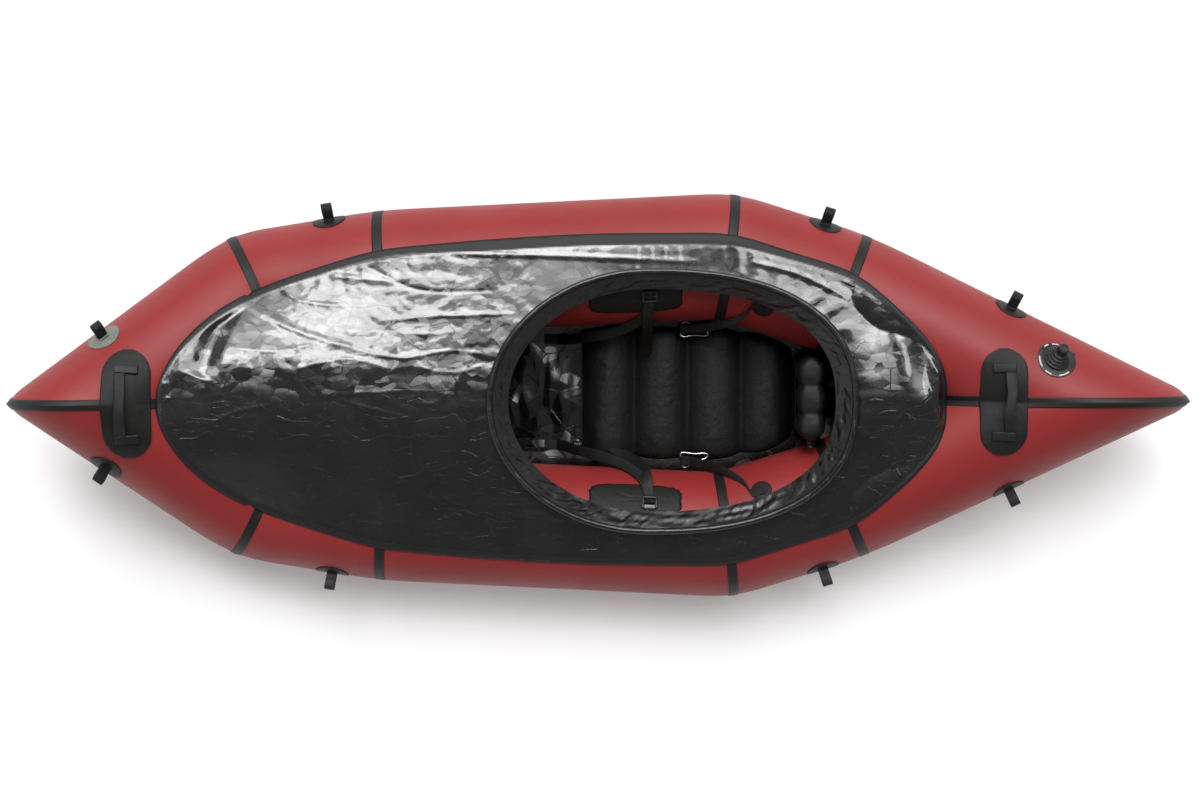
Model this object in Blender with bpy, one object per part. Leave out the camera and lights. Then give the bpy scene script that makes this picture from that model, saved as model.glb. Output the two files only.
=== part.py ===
"""A decked packraft at its real size: hull, deck, coaming, seat, straps and valve.

Metres, +X to the stern, +Y to starboard, +Z up. The origin is the middle of the
footprint, on the surface that the raft lies on.
"""

import math

import bmesh
import bpy
from mathutils import Matrix, Vector

# Hull, measured on the centreline of the air tube
TUBE_RADIUS = 0.1475
BOW_TO_SEAM = 0.301
SEAM_TO_SEAM = 0.3085
MID_PANEL_RUN = 0.8035
AFT_PANEL_RUN = 0.277
SEAM_TO_STERN = 0.4845
BOW_SEAM_SPREAD = 0.242
FORE_SEAM_SPREAD = 0.292
AFT_SEAM_SPREAD = 0.331
STERN_SEAM_SPREAD = 0.2435
BOW_RISE = 0.153
STERN_RISE = 0.083
TUBE_FACETS = 20
NOSE_START_SHARE = 0.85
BOW_KEEP_SHARE = 0.6
STERN_KEEP_SHARE = 0.31
NOSE_SHOULDER = 0.030

# Fabrics, tapes and the gap between touching pieces
GAP = 0.0003
SKIN = 0.0006
TAPE_WIDTH = 0.024
TAPE_THICKNESS = 0.0006
FLOOR_THICKNESS = 0.0010
FLOOR_LAP = 0.012
DECK_THICKNESS = 0.0010
DECK_LIFT = 0.0024
DECK_END_LIFT = 0.0050
PATCH_LIFT = 0.0007
PATCH_THICKNESS = 0.0012
WEBBING_THICKNESS = 0.0015

# Cockpit and its coaming
COCKPIT_CENTRE = 0.104
LIP_HALF_WIDTH = 0.304
LIP_FRONT_REACH = 0.371
LIP_REAR_REACH = 0.4735
REAR_ROUNDNESS = 2.4
BAND_WIDTH = 0.048
BAND_RISE = 0.035
COCKPIT_SIDE_RISE = 0.0133
COCKPIT_FRONT_RISE = 0.036
COCKPIT_REAR_RISE = 0.010
SLEEVE_THICKNESS = 0.0012
SLEEVE_SEAM_ANGLE = math.radians(115)
HOOP_RADIUS = 0.0055
HOOP_CLEARANCE = 0.0004
HOOP_END_GAP = 0.020
FERRULE_RADIUS = 0.0032
FERRULE_LENGTH = 0.070

# Inflatable seat and backrest
SEAT_FRONT = -0.055
SEAT_CHANNELS = 4
CHANNEL_PITCH = 0.128
SEAT_HALF_WIDTH = 0.160
SEAT_TAIL_HALF_WIDTH = 0.112
SEAT_HEIGHT = 0.086
SEAT_VALLEY_SHARE = 0.66
SEAT_PINCH_SHARE = 0.055
BLADDER_WALL = 0.0012
SEAT_WEB_HALF_WIDTH = 0.085
BACKREST_HALF_WIDTH = 0.098
BACKREST_HEIGHT = 0.235
BACKREST_THICKNESS = 0.070
BACKREST_LOBES = 3
BACKREST_VALLEY_SHARE = 0.74
BACKREST_LEAN = math.radians(5)
BACKREST_FLOOR_GAP = 0.044
BACKREST_PIVOT_HEIGHT = 0.096
TWIST_VALVE_RADIUS = 0.010
TWIST_VALVE_LENGTH = 0.016
TWIST_NECK_RADIUS = 0.0055

# Main valve, built round an axis square to the tube
VALVE_FLANGE_RADIUS = 0.045
NOZZLE_BASE_RADIUS = 0.030
NOZZLE_TOP_RADIUS = 0.013
NOZZLE_HEIGHT = 0.040
NOZZLE_BORE = 0.0090
NOZZLE_THROAT = 0.0072
NOZZLE_GUIDE = 0.0032
NOZZLE_RIBS = 5
NOZZLE_SPIGOT = 0.006
CAP_HEIGHT = 0.010
CAP_PLUG = 0.006
PULL_TAB_LENGTH = 0.016
PULL_TAB_RADIUS = 0.0024
POPPET_THICKNESS = 0.0020
POPPET_DEPTH = 0.014
POPPET_STEM_RADIUS = 0.0018
SPRING_WIRE = 0.0005
SPRING_TURNS = 5
SPRING_RADIUS = 0.0055

# Grab handles
HANDLE_PATCH_LENGTH = 0.244
HANDLE_PATCH_WIDTH = 0.104
HANDLE_PAD_SPACING = 0.134
HANDLE_PAD_LENGTH = 0.020
HANDLE_PAD_WIDTH = 0.052
HANDLE_PAD_THICKNESS = 0.0080
GRIP_WIDTH = 0.026
GRIP_THICKNESS = 0.004
BOW_GRIP_ARCH = 0.030
STERN_GRIP_ARCH = 0.020
GRIP_SEAT_SHARE = 0.8
GRIP_STEPS = 5
BOW_HANDLE_INSET = 0.0556
STERN_HANDLE_INSET = 0.1425

# Tie-down points
TIE_PATCH_RADIUS = 0.039
TIE_LOOP_WIDTH = 0.024
TIE_LOOP_REACH = 0.040
TIE_LOOP_BULGE = 0.0085

# Straps and their fittings in the cockpit
STRAP_WIDTH = 0.025
STRAP_LAYER_GAP = 0.0006
ADJUSTER_FOOT = 0.034
FLOOR_STRAP_HEIGHT = 0.0022
ANCHOR_HALF_LENGTH = 0.110
ANCHOR_HALF_DROP = 0.042
ANCHOR_STATION = 0.0675
ANCHOR_LEAN = math.radians(-37)
BUCKLE_STATION = 0.101
BUCKLE_LEAN = math.radians(-33)
BUCKLE_LENGTH = 0.030
BUCKLE_RAIL = 0.0045
BUCKLE_BAR = 0.0045
BUCKLE_THICKNESS = 0.0035
REAR_PATCH_RADIUS = 0.024
REAR_ANCHOR_STATION = 0.3925
REAR_ANCHOR_LEAN = math.radians(-38)
HOOK_WIRE = 0.0022
HOOK_LENGTH = 0.06325
HOOK_SHOULDER = 0.006
STRAP_FOLD = 0.030
REAR_STRAP_RUN = 0.1558
REAR_STRAP_INSET = 0.0592
REAR_STRAP_DROP = 0.1645
HOOK_WIDTH = 0.014

SIDE_NAMES = ("starboard", "port")
MERGE = 0.00001
TURN = 2 * math.pi

# Colours as linear red, green and blue
TUBE_RED = (0.35, 0.045, 0.048)
TAPE_BLACK = (0.022, 0.020, 0.018)
DECK_BLACK = (0.016, 0.016, 0.017)
SLEEVE_BLACK = (0.040, 0.040, 0.039)
SEAT_BLACK = (0.030, 0.030, 0.030)
PATCH_GREY = (0.034, 0.032, 0.029)
WEBBING_BLACK = (0.028, 0.028, 0.028)
RUBBER_BLACK = (0.014, 0.014, 0.014)
STEEL_GREY = (0.55, 0.55, 0.56)
HOOP_GREY = (0.25, 0.25, 0.26)


def finish(name, colour, roughness, metallic=0.0):
    """Return a Principled material for one piece."""
    material = bpy.data.materials.new(name)
    material.use_nodes = True
    shader = material.node_tree.nodes["Principled BSDF"]
    shader.inputs["Base Color"].default_value = (*colour, 1.0)
    shader.inputs["Roughness"].default_value = roughness
    shader.inputs["Metallic"].default_value = metallic
    return material


def place(name, bm, look, origin=None):
    """Turn a bmesh in world coordinates into an object whose origin is given."""
    bmesh.ops.recalc_face_normals(bm, faces=bm.faces)
    mesh = bpy.data.meshes.new(name)
    bm.to_mesh(mesh)
    bm.free()
    origin = Vector(origin) if origin is not None else Vector()
    mesh.transform(Matrix.Translation(-origin))
    mesh.shade_smooth()
    mesh.set_sharp_from_angle(angle=math.radians(35))
    thing = bpy.data.objects.new(name, mesh)
    thing.location = origin
    bpy.context.scene.collection.objects.link(thing)
    mesh.materials.append(finish(name, *look))
    return thing


def loft(name, rings, look, closed_path=False, origin=None, facets_match=False):
    """Skin a row of like rings; a closed path has no ends to cap."""
    bm = bmesh.new()
    loops = [[bm.verts.new(point) for point in ring] for ring in rings]
    pairs = list(zip(loops, loops[1:]))
    if closed_path:
        pairs.append((loops[-1], loops[0]))
    for first, second in pairs:
        if facets_match and abs(first[0].co.y) < abs(second[0].co.y):
            first, second = second, first
        for i, start in enumerate(first):
            j = (i + 1) % len(first)
            if facets_match:
                bm.faces.new((start, first[j], second[j]))
                bm.faces.new((start, second[j], second[i]))
            else:
                bm.faces.new((start, first[j], second[j], second[i]))
    if not closed_path:
        bm.faces.new(reversed(loops[0]))
        bm.faces.new(loops[-1])
    return place(name, bm, look, origin)


def thicken(thing, thickness):
    """Give an open sheet its thickness on the side that its faces look to."""
    wall = thing.modifiers.new("thickness", "SOLIDIFY")
    wall.thickness = thickness
    wall.offset = 1.0
    wall.use_even_offset = True


def sheet(name, rows, centre, thickness, look, outward):
    """Make a thick sheet from closed rows, with a middle point or an open middle."""
    bm = bmesh.new()
    loops = [[bm.verts.new(point) for point in row] for row in rows]
    for first, second in zip(loops, loops[1:]):
        for i, start in enumerate(first):
            j = (i + 1) % len(first)
            bm.faces.new((start, first[j], second[j], second[i]))
    if centre is not None:
        hub = bm.verts.new(centre)
        for i, start in enumerate(loops[-1]):
            bm.faces.new((start, loops[-1][(i + 1) % len(loops[-1])], hub))
    bm.normal_update()
    facing = sum(face.normal.dot(outward) for face in bm.faces)
    mesh = bpy.data.meshes.new(name)
    if facing < 0:
        bmesh.ops.reverse_faces(bm, faces=bm.faces)
    bm.to_mesh(mesh)
    bm.free()
    mesh.shade_smooth()
    mesh.materials.append(finish(name, *look))
    thing = bpy.data.objects.new(name, mesh)
    bpy.context.scene.collection.objects.link(thing)
    thicken(thing, thickness)
    return thing


def revolve(name, profile, frame, look, steps, origin=None):
    """Turn a profile of (radius, height) about a frame's Z axis."""
    bm = bmesh.new()
    verts = [bm.verts.new(frame @ Vector((radius, 0.0, height))) for radius, height in profile]
    edges = [bm.edges.new(pair) for pair in zip(verts, verts[1:])]
    if profile[0][0] > 0 or profile[-1][0] > 0:
        edges.append(bm.edges.new((verts[-1], verts[0])))
    bmesh.ops.spin(
        bm,
        geom=verts + edges,
        cent=frame.translation,
        axis=frame.col[2].xyz,
        dvec=(0, 0, 0),
        angle=TURN,
        steps=steps,
        use_merge=True,
    )
    bmesh.ops.remove_doubles(bm, verts=bm.verts, dist=MERGE)
    return place(name, bm, look, origin)


def ribbon(name, path, across, width, thickness, look, origin=None):
    """Run a flat strap along a path; across gives its width direction at each point."""
    rings = []
    last = len(path) - 1
    for i, point in enumerate(path):
        side = (across[i] if isinstance(across, list) else across).normalized()
        breadth = width[i] if isinstance(width, list) else width
        along = path[min(i + 1, last)] - path[max(i - 1, 0)]
        face = along.cross(side).normalized()
        half_width = side * breadth / 2
        half_thick = face * thickness / 2
        ring = [half_width + half_thick, half_thick - half_width]
        ring += [-half_width - half_thick, half_width - half_thick]
        rings.append([point + corner for corner in ring])
    return loft(name, rings, look, origin=origin)


def rod(name, path, radius, sides, look, up, origin=None):
    """Run a round wire along a path that stays square to the direction up."""
    rings = []
    last = len(path) - 1
    for i, point in enumerate(path):
        along = (path[min(i + 1, last)] - path[max(i - 1, 0)]).normalized()
        first = up.cross(along).normalized()
        second = along.cross(first)
        rings.append([
            point + (first * math.cos(TURN * k / sides) + second * math.sin(TURN * k / sides)) * radius
            for k in range(sides)
        ])
    return loft(name, rings, look, origin=origin)


def join_solid(thing, extra):
    """Fuse another solid into a piece and keep it out of the build."""
    union = thing.modifiers.new("sewn on", "BOOLEAN")
    union.operation = "UNION"
    union.solver = "EXACT"
    union.object = extra
    extra.hide_render = True
    extra.display_type = "WIRE"


def cut_hole(thing, cutter):
    """Cut a hole with a guide solid that is kept out of the build."""
    cut = thing.modifiers.new("hole", "BOOLEAN")
    cut.operation = "DIFFERENCE"
    cut.solver = "EXACT"
    cut.object = cutter
    cutter.hide_render = True
    cutter.display_type = "WIRE"


def flip(point, side):
    """Mirror a starboard point to the given side."""
    return Vector((point.x, point.y * side, point.z))


def both_sides():
    """Return each side's name, and the sign of its distance across."""
    return zip(SIDE_NAMES, (1, -1))


class Hull:
    """The centreline of one air tube, and the points on its wall."""

    def __init__(self):
        height = TUBE_RADIUS + FLOOR_THICKNESS + TAPE_THICKNESS + 2 * GAP
        runs = (BOW_TO_SEAM, SEAM_TO_SEAM, MID_PANEL_RUN, AFT_PANEL_RUN, SEAM_TO_STERN)
        spreads = (0, BOW_SEAM_SPREAD, FORE_SEAM_SPREAD, AFT_SEAM_SPREAD, STERN_SEAM_SPREAD, 0)
        heights = (height + BOW_RISE, height, height, height, height, height + STERN_RISE)
        stations = [0.0]
        for run in runs:
            stations.append(stations[-1] + run)
        self.centres = [Vector(place) for place in zip(stations, spreads, heights)]
        self.runs = [(b - a).normalized() for a, b in zip(self.centres, self.centres[1:])]
        middle = Vector((0, 1, 0))
        bisectors = [(a + b).normalized() for a, b in zip(self.runs, self.runs[1:])]
        self.planes = [middle, *bisectors, middle]
        self.sharp = self.generators(0.0)
        walls = self.generators(GAP + TAPE_THICKNESS)
        bow = min(point.x for point in self.blunt(walls, 0))
        stern = max(point.x for point in self.blunt(walls, -1))
        middle = Vector(((bow + stern) / 2, 0, 0))
        self.centres = [centre - middle for centre in self.centres]
        self.sharp = self.generators(0.0)

    def blunt(self, walls, station):
        """Draw the sharp end of a mitre ring in, so that the tip is blunt."""
        outward, keep = (-1, BOW_KEEP_SHARE) if station == 0 else (1, STERN_KEEP_SHARE)
        aheads = [(p.x - self.centres[station].x) * outward for p in self.sharp[station]]
        start = max(aheads) * NOSE_START_SHARE
        return [
            point - Vector((max(ahead - start, 0.0) * (1 - keep) * outward, 0, 0))
            for point, ahead in zip(walls[station], aheads)
        ]

    def frame(self, panel):
        """Return the outboard and the upward direction square to a panel."""
        outboard = Vector((-self.runs[panel].y, self.runs[panel].x, 0)).normalized()
        return outboard, self.runs[panel].cross(outboard).normalized()

    def hit(self, point, panel, station):
        """Slide a point along a panel to the seam plane of a station."""
        run = self.runs[panel]
        normal = self.planes[station]
        distance = (self.centres[station] - point).dot(normal) / run.dot(normal)
        return point + run * distance

    def generators(self, lift):
        """Return, for each station, the ring of wall points that meet there."""
        outboard, up = self.frame(2)
        rings = [[] for _ in self.centres]
        for i in range(TUBE_FACETS):
            angle = TURN * i / TUBE_FACETS
            start = self.centres[2] + (outboard * math.cos(angle) + up * math.sin(angle)) * (
                TUBE_RADIUS + lift
            )
            marks = {2: self.hit(start, 2, 2)}
            marks[3] = self.hit(start, 2, 3)
            marks[1] = self.hit(marks[2], 1, 1)
            marks[0] = self.hit(marks[1], 0, 0)
            marks[4] = self.hit(marks[3], 3, 4)
            marks[5] = self.hit(marks[4], 4, 5)
            for station, ring in enumerate(rings):
                ring.append(marks[station])
        return rings

    def wall_point(self, panel, share, lean, lift):
        """Return a point between two seams; lean turns outboard from the tube's top."""
        outboard, up = self.frame(panel)
        radial = outboard * math.sin(lean) + up * math.cos(lean)
        point = self.centres[panel] + radial * (TUBE_RADIUS + lift)
        start = self.hit(point, panel, panel)
        return start.lerp(self.hit(point, panel, panel + 1), share)

    def wall_frame(self, panel, station, lean, lift, side):
        """Return a frame on the wall: X along the tube, Y to its top, Z out of it."""
        outboard, up = self.frame(panel)
        radial = outboard * math.sin(lean) + up * math.cos(lean)
        run = self.runs[panel]
        distance = (station - self.centres[panel].x) / run.x
        point = self.centres[panel] + run * distance + radial * (TUBE_RADIUS + lift)
        turned = Matrix((run, radial.cross(run), radial)).transposed().to_4x4()
        return Matrix.Diagonal((1, side, 1, 1)) @ Matrix.Translation(point) @ turned

    def top_height(self, panel, x, y, lift):
        """Return the height of a panel's wall above a point of the plan."""
        run, centre = self.runs[panel], self.centres[panel]
        offset = Vector((x, y, 0)) - centre
        flat = offset - run * run.dot(offset)
        rising = Vector((0, 0, 1)) - run * run.z
        a, b = rising.dot(rising), flat.dot(rising)
        c = flat.dot(flat) - (TUBE_RADIUS + lift) ** 2
        return (-b + math.sqrt(max(b * b - a * c, 0.0))) / a


HULL = Hull()


def along_run(ring, run, y_reach):
    """Slide a mitre ring along a panel until it is at a distance from the centreline."""
    return [point + run * ((y_reach - point.y) / run.y) for point in ring]


def nose_band(walls, station):
    """Return a mitre's ring, the ring under a tape's edge, and the shoulder ring."""
    nose = HULL.blunt(walls, station)
    shoulder = along_run(walls[station], HULL.runs[station], NOSE_SHOULDER)
    share = TAPE_WIDTH / 2 / NOSE_SHOULDER
    return [nose, [near.lerp(far, share) for near, far in zip(nose, shoulder)], shoulder]


def panel_rings(panel, lift):
    """Return a panel's rings, from bow to stern, at a lift from its wall."""
    walls = HULL.generators(lift)
    run = HULL.runs[panel]
    first = [point + run * (GAP / 2) for point in walls[panel]]
    second = [point - run * (GAP / 2) for point in walls[panel + 1]]
    if 0 < panel < len(HULL.runs) - 1:
        return [first, second]
    nose, edge, shoulder = nose_band(walls, 0 if panel == 0 else -1)
    nose = [point + Vector((0, GAP / 2, 0)) for point in nose]
    return [nose, edge, shoulder, second] if panel == 0 else [first, shoulder, edge, nose]


PANEL_NAMES = ("bow", "fore", "mid", "aft", "stern")


def build_tube_panels():
    """Make the ten open-ended fabric panels that hold the air."""
    panels = {}
    for side_name, side in both_sides():
        for number, place_name in enumerate(PANEL_NAMES):
            outer = panel_rings(number, 0.0)
            inner = panel_rings(number, -SKIN)
            rings = [[flip(p, side) for p in ring] for ring in outer + inner[::-1]]
            name = f"tube_panel_{place_name}_{side_name}"
            look = (TUBE_RED, 0.45)
            panels[name] = loft(name, rings, look, closed_path=True, facets_match=True)
    return panels


def seam_band(wall, before, after):
    """Return the three rings of a tape: its two edges, and the seam between them."""
    half = TAPE_WIDTH / 2
    return [[point - before * half for point in wall], wall, [point + after * half for point in wall]]


def build_seam_tapes():
    """Make the tapes round each seam and over the two mitres."""
    inner, outer = HULL.generators(GAP), HULL.generators(GAP + TAPE_THICKNESS)
    for side_name, side in both_sides():
        for seam in range(1, len(HULL.runs)):
            sides = HULL.runs[seam - 1], HULL.runs[seam]
            rings = seam_band(outer[seam], *sides) + seam_band(inner[seam], *sides)[::-1]
            rings = [[flip(point, side) for point in ring] for ring in rings]
            loft(f"seam_tape_{seam}_{side_name}", rings, (TAPE_BLACK, 0.6), closed_path=True)
    for name, station in (("bow", 0), ("stern", -1)):
        rings = []
        for walls in (outer, inner):
            nose, edge, _ = nose_band(walls, station)
            band = [edge, nose, [flip(point, -1) for point in edge]]
            rings += band if walls is outer else band[::-1]
        look = (TAPE_BLACK, 0.6)
        loft(f"centreline_tape_{name}", rings, look, closed_path=True, facets_match=True)


def floor_plane(outward):
    """Return where an end floor starts, and its slope, under the rising tubes."""
    near = HULL.centres[1 if outward < 0 else -2]
    far = HULL.centres[0 if outward < 0 else -1]
    slope = (far.z - near.z) / abs(far.x - near.x)
    drop = TUBE_RADIUS + TAPE_THICKNESS + 2 * GAP
    turn = math.atan(slope)
    crease = near.x + outward * drop * math.tan(turn / 2)
    return crease, slope


def slab(name, outline, top_heights, look):
    """Make a floor sheet of a plan outline; its top is given, its bottom is lower."""
    bm = bmesh.new()
    top = [bm.verts.new((p.x, p.y, z)) for p, z in zip(outline, top_heights)]
    low = [bm.verts.new((p.x, p.y, z - FLOOR_THICKNESS)) for p, z in zip(outline, top_heights)]
    bm.faces.new(top)
    bm.faces.new(low[::-1])
    for i, corner in enumerate(top):
        j = (i + 1) % len(top)
        bm.faces.new((corner, low[i], low[j], top[j]))
    return place(name, bm, look)


def build_floor():
    """Make the flat main floor and the two rocker panels that rise to the ends."""
    look = (DECK_BLACK, 0.25)
    creases = {outward: floor_plane(outward) for outward in (-1, 1)}
    edges = [Vector((p.x, p.y + FLOOR_LAP, 0)) for p in HULL.centres[1:-1]]
    starboard = [
        Vector((creases[-1][0] + GAP / 2, edges[0].y, 0)),
        *edges,
        Vector((creases[1][0] - GAP / 2, edges[-1].y, 0)),
    ]
    outline = starboard + [flip(point, -1) for point in starboard[::-1]]
    slab("floor_main", outline, [FLOOR_THICKNESS] * len(outline), look)
    for name, outward in (("floor_bow_rocker", -1), ("floor_stern_rocker", 1)):
        crease, slope = creases[outward]
        near = HULL.centres[1 if outward < 0 else -2]
        far = HULL.centres[0 if outward < 0 else -1]
        ahead = outward * (TUBE_RADIUS + TAPE_THICKNESS + 2 * GAP) * math.sin(math.atan(slope))
        base = Vector((crease + outward * GAP / 2, near.y + FLOOR_LAP, 0))
        bend = Vector((near.x + ahead, near.y + FLOOR_LAP, 0))
        nose = Vector((far.x + ahead, FLOOR_LAP, 0))
        outline = [base, bend, nose, flip(nose, -1), flip(bend, -1), flip(base, -1)]
        tops = [FLOOR_THICKNESS + abs(p.x - crease) * slope for p in outline]
        slab(name, outline, tops, look)


# Deck edge: panel, share of its run, and lean in degrees outboard of the tube's top
DECK_EDGE_SHARES = (
    (0, 0.0, -27), (0, 0.17, -17), (0, 0.34, -8), (0, 0.54, 1), (0, 0.77, 4),
    (1, 0.0, 3.5), (1, 0.33, 10), (1, 0.67, 16),
    (2, 0.0, 21), (2, 0.125, 23), (2, 0.25, 25), (2, 0.375, 26), (2, 0.5, 26.5),
    (2, 0.625, 26), (2, 0.75, 24.5), (2, 0.875, 22.5),
    (3, 0.0, 20), (3, 0.33, 20), (3, 0.67, 20),
    (4, 0.0, 19.5), (4, 0.13, 12), (4, 0.28, 3), (4, 0.49, -11), (4, 0.74, -31), (4, 1.0, -52),
)
DECK_WELD_ANGLE = 9
DECK_LEAVES_AT = -3
DECK_WELD_STEPS = 2
DECK_SPAN_STEPS = 4
DECK_END_SPOKES = 2


def cockpit_point(angle, grow, rise):
    """Return a point of the cockpit's outline; angle 0 is the stern end."""
    cosine, sine = math.cos(angle), math.sin(angle)
    rear = cosine > 0
    reach = (LIP_REAR_REACH if rear else LIP_FRONT_REACH) - BAND_WIDTH + grow
    power = 2 / (REAR_ROUNDNESS if rear else 2)
    x = COCKPIT_CENTRE + math.copysign(abs(cosine) ** power, cosine) * reach
    y = math.copysign(abs(sine) ** power, sine) * (LIP_HALF_WIDTH - BAND_WIDTH + grow)
    end_rise = COCKPIT_REAR_RISE if rear else COCKPIT_FRONT_RISE
    side_height = HULL.centres[2].z + TUBE_RADIUS + COCKPIT_SIDE_RISE
    return Vector((x, y, side_height + end_rise * cosine * cosine + rise))


def build_deck():
    """Stretch the deck from its weld on the tubes to the edge of the cockpit."""
    spokes = []
    for number, (panel, share, lean) in enumerate(DECK_EDGE_SHARES):
        leaves = min(lean - DECK_WELD_ANGLE, DECK_LEAVES_AT)
        from_end = min(number, len(DECK_EDGE_SHARES) - 1 - number)
        lift = DECK_LIFT if from_end > DECK_END_SPOKES else DECK_END_LIFT
        weld = []
        for step in range(DECK_WELD_STEPS + 1):
            turned = math.radians(lean + (leaves - lean) * step / DECK_WELD_STEPS)
            weld.append(HULL.wall_point(panel, share, turned, lift))
        angle = math.pi * (1 - number / (len(DECK_EDGE_SHARES) - 1))
        hole = cockpit_point(angle, 0.0, -DECK_THICKNESS)
        span = [weld[-1].lerp(hole, k / DECK_SPAN_STEPS) for k in range(1, DECK_SPAN_STEPS + 1)]
        spoke = weld + span
        if number in (0, len(DECK_EDGE_SHARES) - 1):
            spoke = [Vector((point.x, 0.0, point.z)) for point in spoke]
        spokes.append(spoke)
    round_trip = spokes + [[flip(p, -1) for p in spoke] for spoke in spokes[-2:0:-1]]
    rows = [[spoke[k] for spoke in round_trip] for k in range(len(spokes[0]))]
    sheet("deck_sheet", rows, None, DECK_THICKNESS, (DECK_BLACK, 0.2), Vector((0, 0, 1)))


RING_STATIONS = 48
SLEEVE_ARC_STEPS = 6
SLEEVE_ARC_START = math.pi + math.atan2(BAND_RISE, BAND_WIDTH)
SLEEVE_ARC_TURN = math.radians(322)


def offset_outline(points, thickness):
    """Thicken an open line of (across, up) points into a closed outline."""
    left, right = [], []
    last = len(points) - 1
    for i, point in enumerate(points):
        before = (point - points[i - 1]).normalized() if i else None
        after = (points[i + 1] - point).normalized() if i < last else None
        tangent = ((before or after) + (after or before)).normalized()
        normal = Vector((-tangent.y, tangent.x))
        edge = before or after
        reach = thickness / 2 / max(normal.dot(Vector((-edge.y, edge.x))), 0.5)
        left.append(point + normal * reach)
        right.append(point - normal * reach)
    return left + right[::-1]


def hoop_centre():
    """Return the hoop's place in the sleeve's section; its sleeve ends at the lip."""
    wrap = HOOP_RADIUS + HOOP_CLEARANCE + SLEEVE_THICKNESS
    return Vector((BAND_WIDTH - wrap, BAND_RISE))


def sleeve_outline():
    """Return the sleeve's section: a band, and the pocket that wraps the hoop."""
    step = SLEEVE_ARC_TURN / SLEEVE_ARC_STEPS
    radius = (HOOP_RADIUS + HOOP_CLEARANCE) / math.cos(step / 2) + SLEEVE_THICKNESS / 2
    centre = hoop_centre()
    line = [Vector((0.0, SLEEVE_THICKNESS))]
    for k in range(SLEEVE_ARC_STEPS + 1):
        angle = SLEEVE_ARC_START - step * k
        line.append(centre + Vector((math.cos(angle), math.sin(angle))) * radius)
    return offset_outline(line, SLEEVE_THICKNESS)


def ring_angles(start, end):
    """Return the shared stations of the coaming between two angles, ends included."""
    step = TURN / RING_STATIONS
    inside = range(math.ceil(start / step + MERGE), math.floor(end / step - MERGE) + 1)
    return [start, *[step * number for number in inside], end]


def station_section(number, outline):
    """Set a section of (across, up) points on one station of the cockpit's outline."""
    angle = TURN * number / RING_STATIONS
    inner = cockpit_point(angle, 0.0, 0.0)
    band = cockpit_point(angle, BAND_WIDTH, 0.0) - inner
    return [inner + band * (point.x / BAND_WIDTH) + Vector((0, 0, point.y)) for point in outline]


def ring_section(angle, outline):
    """Set a section at any angle, on the straight line between two stations."""
    number = angle * RING_STATIONS / TURN
    below = math.floor(number)
    near, far = station_section(below, outline), station_section(below + 1, outline)
    return [a.lerp(b, number - below) for a, b in zip(near, far)]


def build_coaming():
    """Make the two sleeve pieces, the hoop in their pocket, and its ferrule."""
    outline = sleeve_outline()
    trim = GAP / 2 / LIP_HALF_WIDTH
    spans = {
        "coaming_sleeve_front": (SLEEVE_SEAM_ANGLE + trim, TURN - SLEEVE_SEAM_ANGLE - trim),
        "coaming_sleeve_rear": (-SLEEVE_SEAM_ANGLE + trim, SLEEVE_SEAM_ANGLE - trim),
    }
    for name, (start, end) in spans.items():
        rings = [ring_section(angle, outline) for angle in ring_angles(start, end)]
        loft(name, rings, (SLEEVE_BLACK, 0.5))
    middle = hoop_centre()
    sides = 6
    circle = [Vector((math.cos(TURN * k / sides), math.sin(TURN * k / sides))) for k in range(sides)]
    half_gap = HOOP_END_GAP / 2 / LIP_HALF_WIDTH
    hoop = [middle + point * HOOP_RADIUS for point in circle]
    reach = FERRULE_LENGTH / 2 / LIP_HALF_WIDTH
    bore = [middle + point * (FERRULE_RADIUS + GAP) for point in circle]
    ends = half_gap, TURN - half_gap
    deep = reach + GAP / LIP_HALF_WIDTH, TURN - reach - GAP / LIP_HALF_WIDTH
    rings = [ring_section(angle, bore) for angle in (deep[0], ends[0])]
    rings += [ring_section(angle, hoop) for angle in ring_angles(*ends)]
    rings += [ring_section(angle, bore) for angle in (ends[1], deep[1])]
    loft("coaming_hoop", rings, (HOOP_GREY, 0.35, 0.9))
    pin = [middle + point * FERRULE_RADIUS for point in circle]
    rings = [ring_section(angle, pin) for angle in (-reach, 0.0, reach)]
    loft("hoop_ferrule", rings, (STEEL_GREY, 0.3, 1.0))


def bladder(name, outer, inner, look, origin=None):
    """Make a hollow inflatable from rings that start at its open neck."""
    bm = bmesh.new()
    skins = []
    for rings in (outer, inner):
        loops = [[bm.verts.new(point) for point in ring] for ring in rings]
        for first, second in zip(loops, loops[1:]):
            for i, start in enumerate(first):
                j = (i + 1) % len(first)
                bm.faces.new((start, first[j], second[j], second[i]))
        bm.faces.new(loops[-1])
        skins.append(loops)
    for i, start in enumerate(skins[0][0]):
        j = (i + 1) % len(skins[0][0])
        bm.faces.new((start, skins[0][0][j], skins[1][0][j], skins[1][0][i]))
    return place(name, bm, look, origin)


def rounded_ring(count, half_width, half_height, fullness):
    """Return (across, up) points of a soft rectangle."""
    points = []
    for k in range(count):
        angle = TURN * (k + 0.5) / count
        cosine, sine = math.cos(angle), math.sin(angle)
        points.append((
            math.copysign(abs(cosine) ** fullness, cosine) * half_width,
            math.copysign(abs(sine) ** fullness, sine) * half_height,
        ))
    return points


SEAT_RING_POINTS = 12
SEAT_STEPS_PER_CHANNEL = 4
SEAT_NECK_DOWN_SHARE = 0.80
SEAT_TAPER_START_SHARE = 0.62
SEAT_FULLNESS = 0.42
SEAT_WEB_SHARES = (0.4, 0.9)
SEAT_END_SHARE = 0.24
SEAT_END_RISE_SHARE = 1.5


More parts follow.
